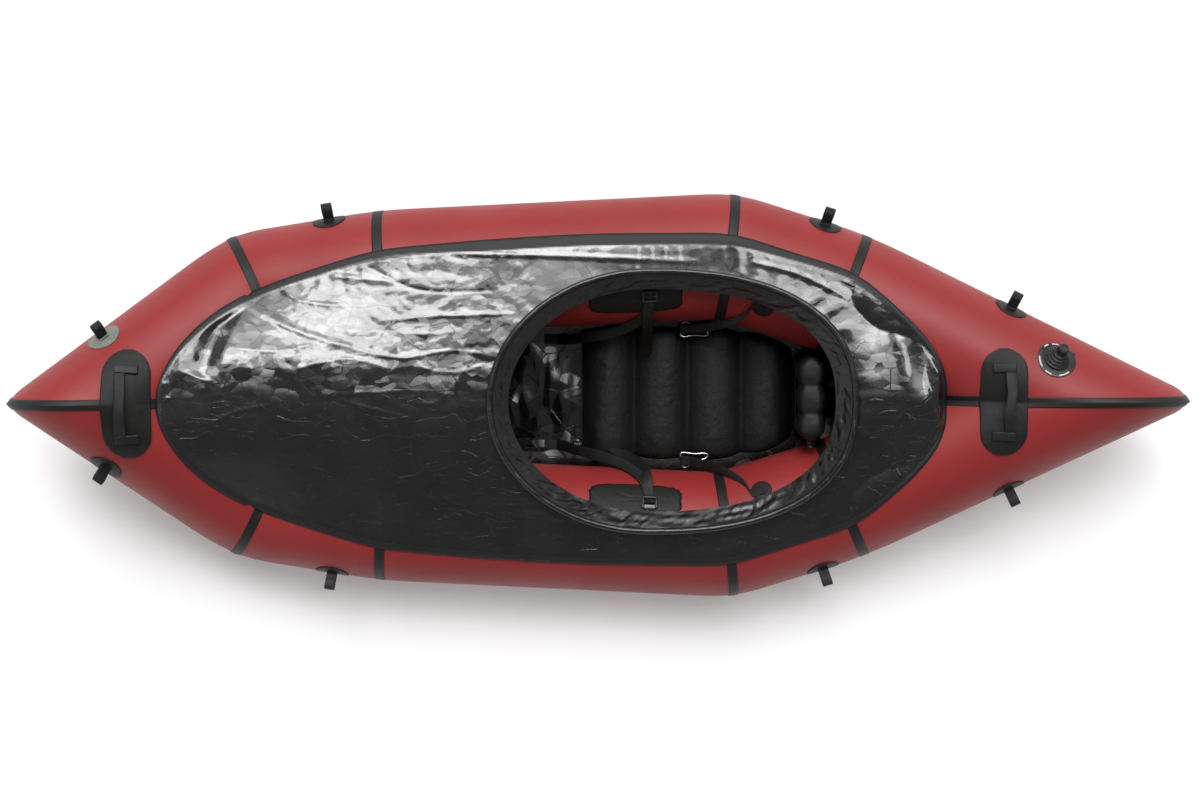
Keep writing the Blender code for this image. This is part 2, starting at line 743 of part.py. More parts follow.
def seat_half_width(share):
    """Return the seat's half width at a share of its length; the tail narrows."""
    past = max(share - SEAT_TAPER_START_SHARE, 0.0) / (1 - SEAT_TAPER_START_SHARE)
    return SEAT_HALF_WIDTH + (SEAT_TAIL_HALF_WIDTH - SEAT_HALF_WIDTH) * past * past


def seat_ring(share, inset):
    """Return one section of the seat, square to X, with its channel's crown."""
    length = SEAT_CHANNELS * CHANNEL_PITCH
    swell = abs(math.sin(math.pi * SEAT_CHANNELS * share)) ** 0.7
    end = min(share, 1 - share) * 2 * SEAT_CHANNELS
    end = math.sqrt(min(end * SEAT_END_RISE_SHARE + SEAT_END_SHARE, 1.0))
    height = SEAT_HEIGHT * (SEAT_VALLEY_SHARE + (1 - SEAT_VALLEY_SHARE) * swell) * end
    width = seat_half_width(share) * (1 - SEAT_PINCH_SHARE * (1 - swell)) - inset
    under = 2 * GAP + FLOOR_THICKNESS
    x = SEAT_FRONT + length * share
    x = min(max(x, SEAT_FRONT + inset), SEAT_FRONT + length - inset)
    middle = under + height / 2
    low = height / 2 - inset
    return [
        Vector((x, y, middle + z))
        for y, z in rounded_ring(SEAT_RING_POINTS, width, low, SEAT_FULLNESS)
    ]


def neck_ring(centre, side, radius, count):
    """Return an upright round opening's ring, in step with a soft rectangle's points."""
    up = Vector((0, 0, 1))
    return [
        centre + side * (math.cos(TURN * (k + 0.5) / count) * radius)
        + up * (math.sin(TURN * (k + 0.5) / count) * radius)
        for k in range(count)
    ]


def twist_valve(name, frame, look):
    """Make the small valve whose collar turns in a bladder's neck."""
    stem, collar = TWIST_NECK_RADIUS - BLADDER_WALL - GAP, TWIST_VALVE_RADIUS
    length, depth = TWIST_VALVE_LENGTH, TWIST_VALVE_LENGTH * 0.5
    lip = collar * 0.72
    profile = [
        (0, -depth), (stem, -depth), (stem, GAP), (collar, GAP), (collar, length * 0.3),
        (lip, length * 0.38), (lip, length * 0.62), (collar * 0.9, length * 0.7),
        (collar * 0.9, length * 0.95), (lip, length), (0, length),
    ]
    return revolve(name, profile, frame, look, 12, origin=frame.translation)


def axis_frame(centre, axis, up):
    """Return a frame at a point with its Z along an axis."""
    z_axis = axis.normalized()
    x_axis = up.cross(z_axis).normalized()
    turned = Matrix((x_axis, z_axis.cross(x_axis), z_axis)).transposed().to_4x4()
    return Matrix.Translation(centre) @ turned


def build_seat():
    """Make the channelled seat, open at the neck of its twist valve."""
    steps = SEAT_CHANNELS * SEAT_STEPS_PER_CHANNEL
    first = seat_ring(0.0, 0.0)
    middle = sum(point.z for point in first) / len(first)
    mouth = Vector((
        SEAT_FRONT - 2 * BLADDER_WALL, -SEAT_HALF_WIDTH * SEAT_NECK_DOWN_SHARE, middle
    ))
    skins = []
    for inset in (0.0, BLADDER_WALL):
        neck = neck_ring(mouth, Vector((0, 1, 0)), TWIST_NECK_RADIUS - inset, SEAT_RING_POINTS)
        root = [Vector((SEAT_FRONT + inset, point.y, point.z)) for point in neck]
        rings = [seat_ring(k / steps, inset) for k in range(steps + 1)]
        skins.append([neck, root, *rings])
    seat = bladder("seat_cushion", *skins, (SEAT_BLACK, 0.6))
    tail = SEAT_FRONT + SEAT_CHANNELS * CHANNEL_PITCH
    stand = BLADDER_WALL / 2 + GAP
    rise = BACKREST_PIVOT_HEIGHT - BACKREST_FLOOR_GAP
    path = [Vector((tail - BLADDER_WALL * 1.5, 0, middle))]
    heights = [BACKREST_FLOOR_GAP + rise * share for share in SEAT_WEB_SHARES]
    against = backrest_front(heights[-1]) - stand - GAP
    path += [Vector((against, 0, height)) for height in heights]
    web = ribbon(
        "seat_web", path, Vector((0, 1, 0)), 2 * SEAT_WEB_HALF_WIDTH,
        BLADDER_WALL, (SEAT_BLACK, 0.6),
    )
    join_solid(seat, web)
    frame = axis_frame(mouth, Vector((-1, 0, 0)), Vector((0, 0, 1)))
    twist_valve("seat_twist_valve", frame, (RUBBER_BLACK, 0.4))


BACKREST_RING_POINTS = 12
BACKREST_STEPS_PER_LOBE = 4
BACKREST_NECK_UP_SHARE = 0.80
BACKREST_FULLNESS = 0.45
BACKREST_END_SHARE = 0.12
BACKREST_END_RISE_SHARE = 1.4
BACKREST_PINCH_SHARE = 0.04
BACKREST_CORNER_SHARE = 0.10
BACKREST_REAR_GAP = 0.006


def backrest_seat_gap():
    """Return where the backrest's front face stands behind the seat."""
    return SEAT_FRONT + SEAT_CHANNELS * CHANNEL_PITCH + BACKREST_REAR_GAP


def backrest_ring(share, inset):
    """Return one section of the backrest, square to Y, before it leans."""
    swell = abs(math.sin(math.pi * BACKREST_LOBES * share)) ** 0.7
    end = min(share, 1 - share) * 2 * BACKREST_LOBES
    end = math.sqrt(min(end * BACKREST_END_RISE_SHARE + BACKREST_END_SHARE, 1.0))
    depth = BACKREST_THICKNESS * (BACKREST_VALLEY_SHARE + (1 - BACKREST_VALLEY_SHARE) * swell) * end
    narrow = BACKREST_PINCH_SHARE * (1 - swell) + BACKREST_CORNER_SHARE * (1 - end)
    tall = BACKREST_HEIGHT * (1 - narrow)
    y = BACKREST_HALF_WIDTH * (1 - 2 * share)
    y = math.copysign(min(abs(y), BACKREST_HALF_WIDTH - inset), y)
    return [
        Vector((across + BACKREST_THICKNESS / 2, y, up + BACKREST_HEIGHT / 2))
        for across, up in rounded_ring(
            BACKREST_RING_POINTS, depth / 2 - inset, tall / 2 - inset, BACKREST_FULLNESS
        )
    ]


def backrest_frame():
    """Return the frame of the leaning backrest, at the foot of its front face."""
    foot = Vector((backrest_seat_gap(), 0, BACKREST_FLOOR_GAP))
    return Matrix.Translation(foot) @ Matrix.Rotation(-BACKREST_LEAN, 4, "Y")


def backrest_front(height):
    """Return where the middle lobe's front face stands at a height."""
    frame = backrest_frame()
    ring = [frame @ point for point in backrest_ring(0.5, 0.0)]
    found = []
    for first, second in zip(ring, ring[1:] + ring[:1]):
        if (first.z - height) * (second.z - height) < 0:
            share = (height - first.z) / (second.z - first.z)
            found.append(first.lerp(second, share).x)
    return min(found)


def build_backrest():
    """Make the lobed backrest, which folds forward about the seat's rear edge."""
    steps = BACKREST_LOBES * BACKREST_STEPS_PER_LOBE
    lean = backrest_frame()
    mouth = Vector((
        BACKREST_THICKNESS / 2,
        BACKREST_HALF_WIDTH + 2 * BLADDER_WALL,
        BACKREST_HEIGHT * BACKREST_NECK_UP_SHARE,
    ))
    skins = []
    for inset in (0.0, BLADDER_WALL):
        neck = neck_ring(
            mouth, Vector((1, 0, 0)), TWIST_NECK_RADIUS - inset, BACKREST_RING_POINTS
        )
        root = [Vector((p.x, BACKREST_HALF_WIDTH - inset, p.z)) for p in neck]
        rings = [backrest_ring(k / steps, inset) for k in range(steps + 1)]
        skins.append([[flip(lean @ p, -1) for p in ring] for ring in (neck, root, *rings)])
    pivot = Vector((backrest_seat_gap() - BACKREST_REAR_GAP / 2, 0, BACKREST_PIVOT_HEIGHT))
    backrest = bladder("backrest", *skins, (SEAT_BLACK, 0.6), origin=pivot)
    frame = axis_frame(flip(lean @ mouth, -1), Vector((0, -1, 0)), Vector((0, 0, 1)))
    valve = twist_valve("backrest_twist_valve", frame, (RUBBER_BLACK, 0.4))
    valve.parent = backrest
    valve.matrix_parent_inverse = Matrix.Translation(-pivot)


def wall_patch(name, panel, station, lean, side, half_length, half_drop, roundness, look):
    """Weld a soft-cornered patch on a tube's wall."""
    rows = []
    points = 16 if half_length > TIE_PATCH_RADIUS else 12
    for grow in (1.0, 0.5):
        row = []
        for k in range(points):
            angle = TURN * k / points
            cosine, sine = math.cos(angle), math.sin(angle)
            along = math.copysign(abs(cosine) ** (2 / roundness), cosine) * half_length * grow
            drop = math.copysign(abs(sine) ** (2 / roundness), sine) * half_drop * grow
            spot = HULL.wall_frame(
                panel, station, lean + drop / TUBE_RADIUS, PATCH_LIFT, side
            )
            row.append(spot @ Vector((along, 0, 0)))
        rows.append(row)
    spot = HULL.wall_frame(panel, station, lean, PATCH_LIFT, side)
    return sheet(name, rows, spot.translation, PATCH_THICKNESS, look, spot.col[2].xyz)


# Tie-down places: panel, distance from its forward seam's centre as a share of its run, lean
TIE_DOWN_SHARES = {
    "bow": (0, 0.14, math.radians(55)),
    "fore": (1, 0.66, math.radians(72)),
    "aft": (3, 0.67, math.radians(70)),
    "stern": (4, 0.66, math.radians(70)),
}
TIE_LOOP_SHARES = (
    (-0.02, -0.36), (0.64, -1.0), (0.90, -0.72), (1.0, 0.0), (0.90, 0.72), (0.64, 1.0), (-0.02, 0.36),
)


def build_tie_downs():
    """Make the eight patches, each with its webbing loop sewn on."""
    for side_name, side in both_sides():
        for name, (panel, share, lean) in TIE_DOWN_SHARES.items():
            ends = HULL.centres[panel], HULL.centres[panel + 1]
            station = ends[0].x + (ends[1].x - ends[0].x) * share
            label = f"tie_down_{name}_{side_name}"
            patch = wall_patch(
                label, panel, station, lean, side,
                TIE_PATCH_RADIUS, TIE_PATCH_RADIUS, 2, (PATCH_GREY, 0.7),
            )
            root = HULL.wall_frame(
                panel, station, lean, PATCH_LIFT + PATCH_THICKNESS / 2, side
            )
            path = [
                root @ Vector((0, bulge * TIE_LOOP_BULGE, reach * TIE_LOOP_REACH))
                for reach, bulge in TIE_LOOP_SHARES
            ]
            loop = ribbon(
                f"{label}_loop", path, root.col[0].xyz, TIE_LOOP_WIDTH,
                WEBBING_THICKNESS, (WEBBING_BLACK, 0.7),
            )
            join_solid(patch, loop)


HANDLE_ROW_SHARES = (-1.0, -0.9, -0.7, -0.45, -0.2, 0.0, 0.2, 0.45, 0.7, 0.9, 1.0)
HANDLE_COLUMN_SHARES = (-1.0, -0.5, 0.0, 0.5, 1.0)
HANDLE_PATCH_LIFT = 0.0022


def handle_surface(panel, x, y, lift):
    """Return a point over the meeting tubes at one end of the raft."""
    return Vector((x, y, HULL.top_height(panel, x, abs(y), lift)))


def handle_frame(panel, x, y, side):
    """Return a frame that lies on the patch: X aft, Y away from the centreline."""
    step = HANDLE_PAD_LENGTH / 4
    here = handle_surface(panel, x, y, HANDLE_PATCH_LIFT)
    x_axis = handle_surface(panel, x + step, y, HANDLE_PATCH_LIFT) - handle_surface(
        panel, x - step, y, HANDLE_PATCH_LIFT
    )
    y_axis = handle_surface(panel, x, y + step, HANDLE_PATCH_LIFT) - handle_surface(
        panel, x, y - step, HANDLE_PATCH_LIFT
    )
    z_axis = x_axis.cross(y_axis).normalized()
    x_axis = y_axis.cross(z_axis).normalized()
    turned = Matrix((x_axis, z_axis.cross(x_axis), z_axis)).transposed().to_4x4()
    return Matrix.Diagonal((1, side, 1, 1)) @ Matrix.Translation(here) @ turned


def box_between(name, low, high, frame, look):
    """Make a plain block in a frame, from its lowest to its highest corner."""
    bm = bmesh.new()
    bmesh.ops.create_cube(bm, size=1.0)
    size = high - low
    bmesh.ops.scale(bm, vec=size, verts=bm.verts)
    bmesh.ops.translate(bm, vec=(low + high) / 2, verts=bm.verts)
    bmesh.ops.transform(bm, matrix=frame, verts=bm.verts)
    return place(name, bm, look)


def grip_reach(frame, pivot, slope, lifted, rise):
    """Return how far across a bail's path runs, to end just short of its pad."""
    edge = frame @ Vector((0, -HANDLE_PAD_LENGTH / 2, 0))
    face = frame.col[1].xyz
    last = 1 / GRIP_STEPS
    fall = math.atan2(rise * (1 - (1 - last) ** 2), edge.y * last)
    reaches = []
    for along in (GAP, GAP + GRIP_WIDTH):
        for half in (-GRIP_THICKNESS / 2, GRIP_THICKNESS / 2):
            corner = pivot + slope * along + lifted * half * math.cos(fall)
            corner.y += half * math.sin(fall)
            reaches.append(-((corner - edge).dot(face) + GAP) / face.y)
    return min(reaches)


def build_handles():
    """Make each end's patch with its sewn pads, and the bail that lifts from it."""
    ends = {
        "bow": (0, HULL.centres[0].x + BOW_HANDLE_INSET, -1),
        "stern": (len(HULL.runs) - 1, HULL.centres[-1].x - STERN_HANDLE_INSET, 1),
    }
    for name, (panel, centre, outward) in ends.items():
        bm = bmesh.new()
        rows = []
        for y_share in HANDLE_ROW_SHARES:
            narrow = math.sqrt(max(1 - max((abs(y_share) - 0.56) / 0.44, 0) ** 2, 0.12))
            rows.append([
                bm.verts.new(handle_surface(
                    panel,
                    centre + x_share * narrow * HANDLE_PATCH_WIDTH / 2,
                    y_share * HANDLE_PATCH_LENGTH / 2,
                    HANDLE_PATCH_LIFT,
                ))
                for x_share in HANDLE_COLUMN_SHARES
            ])
        for first, second in zip(rows, rows[1:]):
            for k in range(len(first) - 1):
                bm.faces.new((first[k], first[k + 1], second[k + 1], second[k]))
        mesh = bpy.data.meshes.new(f"handle_patch_{name}")
        bm.to_mesh(mesh)
        bm.free()
        mesh.materials.append(finish(mesh.name, PATCH_GREY, 0.7))
        patch = bpy.data.objects.new(mesh.name, mesh)
        bpy.context.scene.collection.objects.link(patch)
        thicken(patch, PATCH_THICKNESS)
        pad_y = HANDLE_PAD_SPACING / 2 + HANDLE_PAD_LENGTH / 2
        for side_name, side in both_sides():
            frame = handle_frame(panel, centre, pad_y, side)
            half = Vector((HANDLE_PAD_WIDTH / 2, HANDLE_PAD_LENGTH / 2, 0))
            low = Vector((-half.x, -half.y, -HANDLE_PATCH_LIFT / 2))
            high = Vector((half.x, half.y, HANDLE_PAD_THICKNESS))
            pad = box_between(
                f"handle_pad_{name}_{side_name}", low, high, frame, (PATCH_GREY, 0.7)
            )
            join_solid(patch, pad)
        frame = handle_frame(panel, centre, pad_y, 1)
        eye = frame @ Vector((0, -HANDLE_PAD_LENGTH / 2, HANDLE_PAD_THICKNESS * GRIP_SEAT_SHARE))
        pivot = Vector((centre, 0, eye.z))
        slope = Vector((frame.col[0].x, 0, frame.col[0].z)).normalized() * outward
        lifted = Vector((-slope.z, 0, slope.x)) * outward
        rise = BOW_GRIP_ARCH if outward < 0 else STERN_GRIP_ARCH
        half_span = grip_reach(frame, pivot, slope, lifted, rise)
        path = []
        for k in range(-GRIP_STEPS, GRIP_STEPS + 1):
            share = k / GRIP_STEPS
            beside = pivot + slope * (GRIP_WIDTH / 2 + GAP) + lifted * rise * (1 - share * share)
            path.append(beside + Vector((0, share * half_span, 0)))
        ribbon(
            f"grab_handle_{name}", path, slope * outward, GRIP_WIDTH,
            GRIP_THICKNESS, (WEBBING_BLACK, 0.7), origin=pivot,
        )


VALVE_STATION_SHARE = 0.917
VALVE_LEAN = math.radians(31.5)
VALVE_STEPS = 14


def saddle(name, frame, panel, lean, station, radius, top, look):
    """Make a round boss with a flat top and an underside that fits the tube."""
    bm = bmesh.new()
    flat, fitted = [], []
    for k in range(VALVE_STEPS):
        angle = TURN * k / VALVE_STEPS
        along, across = math.cos(angle) * radius, math.sin(angle) * radius
        flat.append(bm.verts.new(frame @ Vector((along, across, top))))
        turned = lean + math.asin(across / (TUBE_RADIUS + PATCH_LIFT))
        foot = HULL.wall_frame(panel, station, turned, PATCH_LIFT + PATCH_THICKNESS / 2, 1)
        fitted.append(bm.verts.new(foot @ Vector((along, 0, 0))))
    hub = bm.verts.new(frame @ Vector((0, 0, PATCH_LIFT + PATCH_THICKNESS / 2)))
    bm.faces.new(flat)
    for k in range(VALVE_STEPS):
        j = (k + 1) % VALVE_STEPS
        bm.faces.new((flat[j], flat[k], fitted[k], fitted[j]))
        bm.faces.new((fitted[j], fitted[k], hub))
    return place(name, bm, look)


def nozzle_profile():
    """Return the ribbed cone, bored for the plug above and the poppet below."""
    span = NOZZLE_BASE_RADIUS - NOZZLE_TOP_RADIUS
    rise = NOZZLE_HEIGHT / NOZZLE_RIBS
    spigot = NOZZLE_BORE + 2 * BLADDER_WALL
    ledge = NOZZLE_HEIGHT - POPPET_DEPTH
    profile = [
        (NOZZLE_THROAT, ledge), (NOZZLE_BORE, ledge), (NOZZLE_BORE, -NOZZLE_SPIGOT * 0.8),
        (NOZZLE_GUIDE, -NOZZLE_SPIGOT * 0.8), (NOZZLE_GUIDE, -NOZZLE_SPIGOT),
        (spigot, -NOZZLE_SPIGOT), (spigot, 0.0), (NOZZLE_BASE_RADIUS, 0.0),
    ]
    for rib in range(NOZZLE_RIBS):
        radius = NOZZLE_BASE_RADIUS - span * rib / (NOZZLE_RIBS - 1)
        after = NOZZLE_BASE_RADIUS - span * min((rib + 1) / (NOZZLE_RIBS - 1), 1.0)
        profile.append((radius, rise * (rib + 0.5)))
        profile.append(((radius + 2 * after) / 3, rise * (rib + 0.62)))
    return profile + [(NOZZLE_TOP_RADIUS, NOZZLE_HEIGHT), (NOZZLE_THROAT, NOZZLE_HEIGHT)]


def build_main_valve(panels):
    """Make the inflation valve: flange, ribbed nozzle, plug cap, poppet and spring."""
    last = len(HULL.runs) - 1
    ends = HULL.centres[last], HULL.centres[-1]
    station = ends[0].x + (ends[1].x - ends[0].x) * VALVE_STATION_SHARE
    skin = HULL.wall_frame(last, station, VALVE_LEAN, 0.0, 1)
    look = (RUBBER_BLACK, 0.5)
    flange = wall_patch(
        "valve_flange", last, station, VALVE_LEAN, 1,
        VALVE_FLANGE_RADIUS, VALVE_FLANGE_RADIUS, 2, look,
    )
    seat = PATCH_LIFT + 2 * PATCH_THICKNESS
    boss = saddle(
        "valve_boss", skin, last, VALVE_LEAN, station,
        NOZZLE_BASE_RADIUS + 2 * BLADDER_WALL, seat, look,
    )
    join_solid(flange, boss)
    base = skin @ Matrix.Translation((0, 0, seat + GAP))
    hole_radius = NOZZLE_BORE + 2 * BLADDER_WALL + GAP
    reach = TUBE_RADIUS / 4
    hole = revolve(
        "valve_hole",
        [(0, -reach), (hole_radius, -reach), (hole_radius, reach), (0, reach)],
        base, look, VALVE_STEPS,
    )
    cut_hole(flange, hole)
    cut_hole(panels["tube_panel_stern_starboard"], hole)
    revolve("valve_nozzle", nozzle_profile(), base, look, VALVE_STEPS)
    low, cap, plug = NOZZLE_HEIGHT + GAP, NOZZLE_TOP_RADIUS, NOZZLE_THROAT - GAP
    lid_profile = [
        (0, low - CAP_PLUG), (plug, low - CAP_PLUG), (plug, low), (cap, low),
        (cap, low + CAP_HEIGHT * 0.6), (cap * 0.85, low + CAP_HEIGHT), (0, low + CAP_HEIGHT),
    ]
    lid = revolve("valve_cap", lid_profile, base, look, VALVE_STEPS, base @ Vector((0, 0, low)))
    height = low + CAP_HEIGHT * 0.35
    tips = Vector((cap * 0.8, 0, height)), Vector((cap + PULL_TAB_LENGTH, 0, height))
    tab = rod(
        "valve_pull_tab", [base @ tip for tip in tips], PULL_TAB_RADIUS, 8, look, base.col[2].xyz
    )
    join_solid(lid, tab)
    top = NOZZLE_HEIGHT - POPPET_DEPTH - GAP
    under = top - POPPET_THICKNESS
    foot = -NOZZLE_SPIGOT * 0.7
    disc, stem = NOZZLE_BORE - 2 * GAP, POPPET_STEM_RADIUS
    poppet = [(0, foot), (stem, foot), (stem, under), (disc, under), (disc, top), (0, top)]
    revolve("valve_poppet", poppet, base, look, VALVE_STEPS, base @ Vector((0, 0, top)))
    coil_low = -NOZZLE_SPIGOT * 0.8 + SPRING_WIRE + GAP
    coil_top = under - SPRING_WIRE - GAP
    path = []
    for k in range(SPRING_TURNS * SPRING_STEPS + 1):
        angle = TURN * k / SPRING_STEPS
        rise = coil_low + (coil_top - coil_low) * k / (SPRING_TURNS * SPRING_STEPS)
        path.append(
            base @ Vector((SPRING_RADIUS * math.cos(angle), SPRING_RADIUS * math.sin(angle), rise))
        )
    rod("valve_spring", path, SPRING_WIRE, 4, (STEEL_GREY, 0.3, 1.0), base.col[2].xyz)


MID_PANEL, AFT_PANEL = PANEL_NAMES.index("mid"), PANEL_NAMES.index("aft")
SPRING_STEPS = 8
LAYER = WEBBING_THICKNESS + STRAP_LAYER_GAP
NEAR_LAYER = STRAP_LAYER_GAP + WEBBING_THICKNESS / 2

# Ways of the straps from the buckle's mouth: along, across and up as shares of its place
TAIL_SHARES = {
    "starboard": (
        (-0.0209, 0.9363, 0.9606), (-0.0209, 0.7913, 0.8516), (-0.0209, 0.6446, 0.6768),
        (-0.0165, 0.5113, 0.5058), (-0.0165, 0.3912, 0.3868),
    ),
    "port": (
        (-0.0187, 0.9363, 0.9606), (-0.0298, 0.8002, 0.8590), (-0.0965, 0.7024, 0.6694),
        (-0.2477, 0.6313, 0.5058), (-0.4210, 0.5779, 0.3905),
    ),
}
TAIL_TURN_SHARES = {"starboard": (1.0, 0.0), "port": (0.78, -0.62)}
LOAD_SHARES = (
    (-0.0272, 0.9368, 0.9572), (-0.0383, 0.8846, 0.9190), (-0.0913, 0.8139, 0.8422),
    (-0.2373, 0.7166, 0.7075), (-0.4408, 0.6502, 0.5765), (-0.6266, 0.6148, 0.4642),
    (-0.7858, 0.5883, 0.3182), (-0.8920, 0.5750, 0.1422), (-0.9627, 0.5706, 0.0299),
)
LOAD_TURN_SHARES = (
    (1.0, 0.0), (1.0, -0.05), (0.95, -0.25), (0.8, -0.6), (0.45, -0.9),
    (0.2, -1.0), (0.1, -1.0), (0.0, -1.0), (0.0, -1.0),
)


def strap_way(mouth, shares, side):
    """Place a strap's way from its shares of the distances to a buckle's mouth."""
    aside = abs(mouth.y)
    return [
        Vector((mouth.x + aside * along, side * aside * across, mouth.z * up))
        for along, across, up in shares
    ]


def build_buckle(side_name, side):
    """Make a ladder-lock and the keeper that holds its upper bar to the patch."""
    lift = PATCH_LIFT + PATCH_THICKNESS
    frame = HULL.wall_frame(MID_PANEL, BUCKLE_STATION, BUCKLE_LEAN, lift, side)
    half = STRAP_WIDTH / 2 + STRAP_LAYER_GAP
    outer = half + BUCKLE_RAIL
    low = NEAR_LAYER + LAYER + WEBBING_THICKNESS / 2 + STRAP_LAYER_GAP
    high = low + BUCKLE_THICKNESS
    look = (RUBBER_BLACK, 0.35)
    body = box_between(
        f"ladder_lock_{side_name}",
        Vector((-outer, -BUCKLE_LENGTH / 2, low)), Vector((outer, BUCKLE_LENGTH / 2, high)),
        frame, look,
    )
    slot = (BUCKLE_LENGTH - 3 * BUCKLE_BAR) / 2
    for number, start in enumerate((-BUCKLE_LENGTH / 2 + BUCKLE_BAR, BUCKLE_BAR / 2)):
        cutter = box_between(
            f"ladder_slot_{number}_{side_name}",
            Vector((-half, start, low - BUCKLE_THICKNESS)),
            Vector((half, start + slot, high + BUCKLE_THICKNESS)),
            frame, look,
        )
        cut_hole(body, cutter)
    patch = wall_patch(
        f"strap_anchor_{side_name}", MID_PANEL, ANCHOR_STATION, ANCHOR_LEAN, side,
        ANCHOR_HALF_LENGTH, ANCHOR_HALF_DROP, 4, (PATCH_GREY, 0.7),
    )
    clear = STRAP_LAYER_GAP + WEBBING_THICKNESS / 2
    bar_top = BUCKLE_LENGTH / 2
    inside = bar_top - BUCKLE_BAR - clear
    rooted = -PATCH_THICKNESS / 2
    arch = [
        (bar_top + clear, rooted), (bar_top + clear, high), (bar_top + clear * 0.75, high + clear * 0.75),
        (bar_top, high + clear), (inside + clear, high + clear),
        (inside + clear * 0.25, high + clear * 0.75), (inside, high), (inside, rooted),
    ]
    keeper = ribbon(
        f"strap_keeper_{side_name}",
        [frame @ Vector((0, along, out)) for along, out in arch],
        frame.col[0].xyz, STRAP_WIDTH, WEBBING_THICKNESS, (WEBBING_BLACK, 0.7),
    )
    join_solid(patch, keeper)
    return frame, low, high


def build_adjuster(side_name, side, frame, low, high):
    """Run the adjuster strap from the floor, round the middle bar, to its tail."""
    clear = STRAP_LAYER_GAP + WEBBING_THICKNESS / 2
    near, tail_layer = NEAR_LAYER, NEAR_LAYER + LAYER
    out = BUCKLE_BAR / 2 + clear
    width_axis = frame.col[0].xyz
    mouths = [frame @ Vector((0, -BUCKLE_LENGTH * 0.55, out)) for out in (near, tail_layer)]
    load = strap_way(mouths[0], LOAD_SHARES, side)
    points = [Vector((load[-1].x - ADJUSTER_FOOT, load[-1].y, FLOOR_STRAP_HEIGHT))]
    sides = [flip(Vector((0, -1, 0)), side)]
    points.append(Vector((load[-1].x - clear * 4, load[-1].y, FLOOR_STRAP_HEIGHT)))
    sides.append(flip(Vector((0, -1, 0)), side))
    for point, (along, across) in list(zip(load, LOAD_TURN_SHARES))[::-1]:
        points.append(point)
        sides.append(flip(Vector((along, across, 0)), side))
    wrap = [
        (-BUCKLE_LENGTH * 0.55, near), (0.0, near), (out * 0.75, near + clear * 0.3),
        (out, near + LAYER * 0.6), (out, high), (out * 0.8, high + clear * 0.85),
        (0.0, high + clear), (-out * 0.8, high + clear * 0.85), (-out, high),
        (-out, tail_layer + LAYER * 0.5), (-out * 1.3, tail_layer + clear * 0.2),
        (-out * 1.9, tail_layer), (-BUCKLE_LENGTH * 0.55, tail_layer),
    ]
    for along, outward in wrap:
        points.append(frame @ Vector((0, along, outward)))
        sides.append(width_axis)
    spread = TAIL_TURN_SHARES[side_name]
    for number, point in enumerate(strap_way(mouths[1], TAIL_SHARES[side_name], side)):
        share = min(number / 2, 1.0)
        points.append(point)
        turned = Vector((1, 0, 0)).lerp(Vector((spread[0], spread[1], 0)), share)
        sides.append(flip(turned, side))
    widths = [STRAP_WIDTH] * (len(points) - 1) + [STRAP_WIDTH * 0.2]
    ribbon(
        f"adjuster_strap_{side_name}", points[::-1], [-across * side for across in sides[::-1]],
        widths[::-1], WEBBING_THICKNESS, (WEBBING_BLACK, 0.7),
    )


HOOK_TIP_SHARES = (0.9803, -0.1897, -0.0553)
REAR_WAY_SHARES = ((0.127, 0.425, 0.152), (0.3965, 0.7635, 0.395), (0.679, 0.9325, 0.705))
FOLD_SHARES = (-1.0, -0.667, -0.3, -0.933)


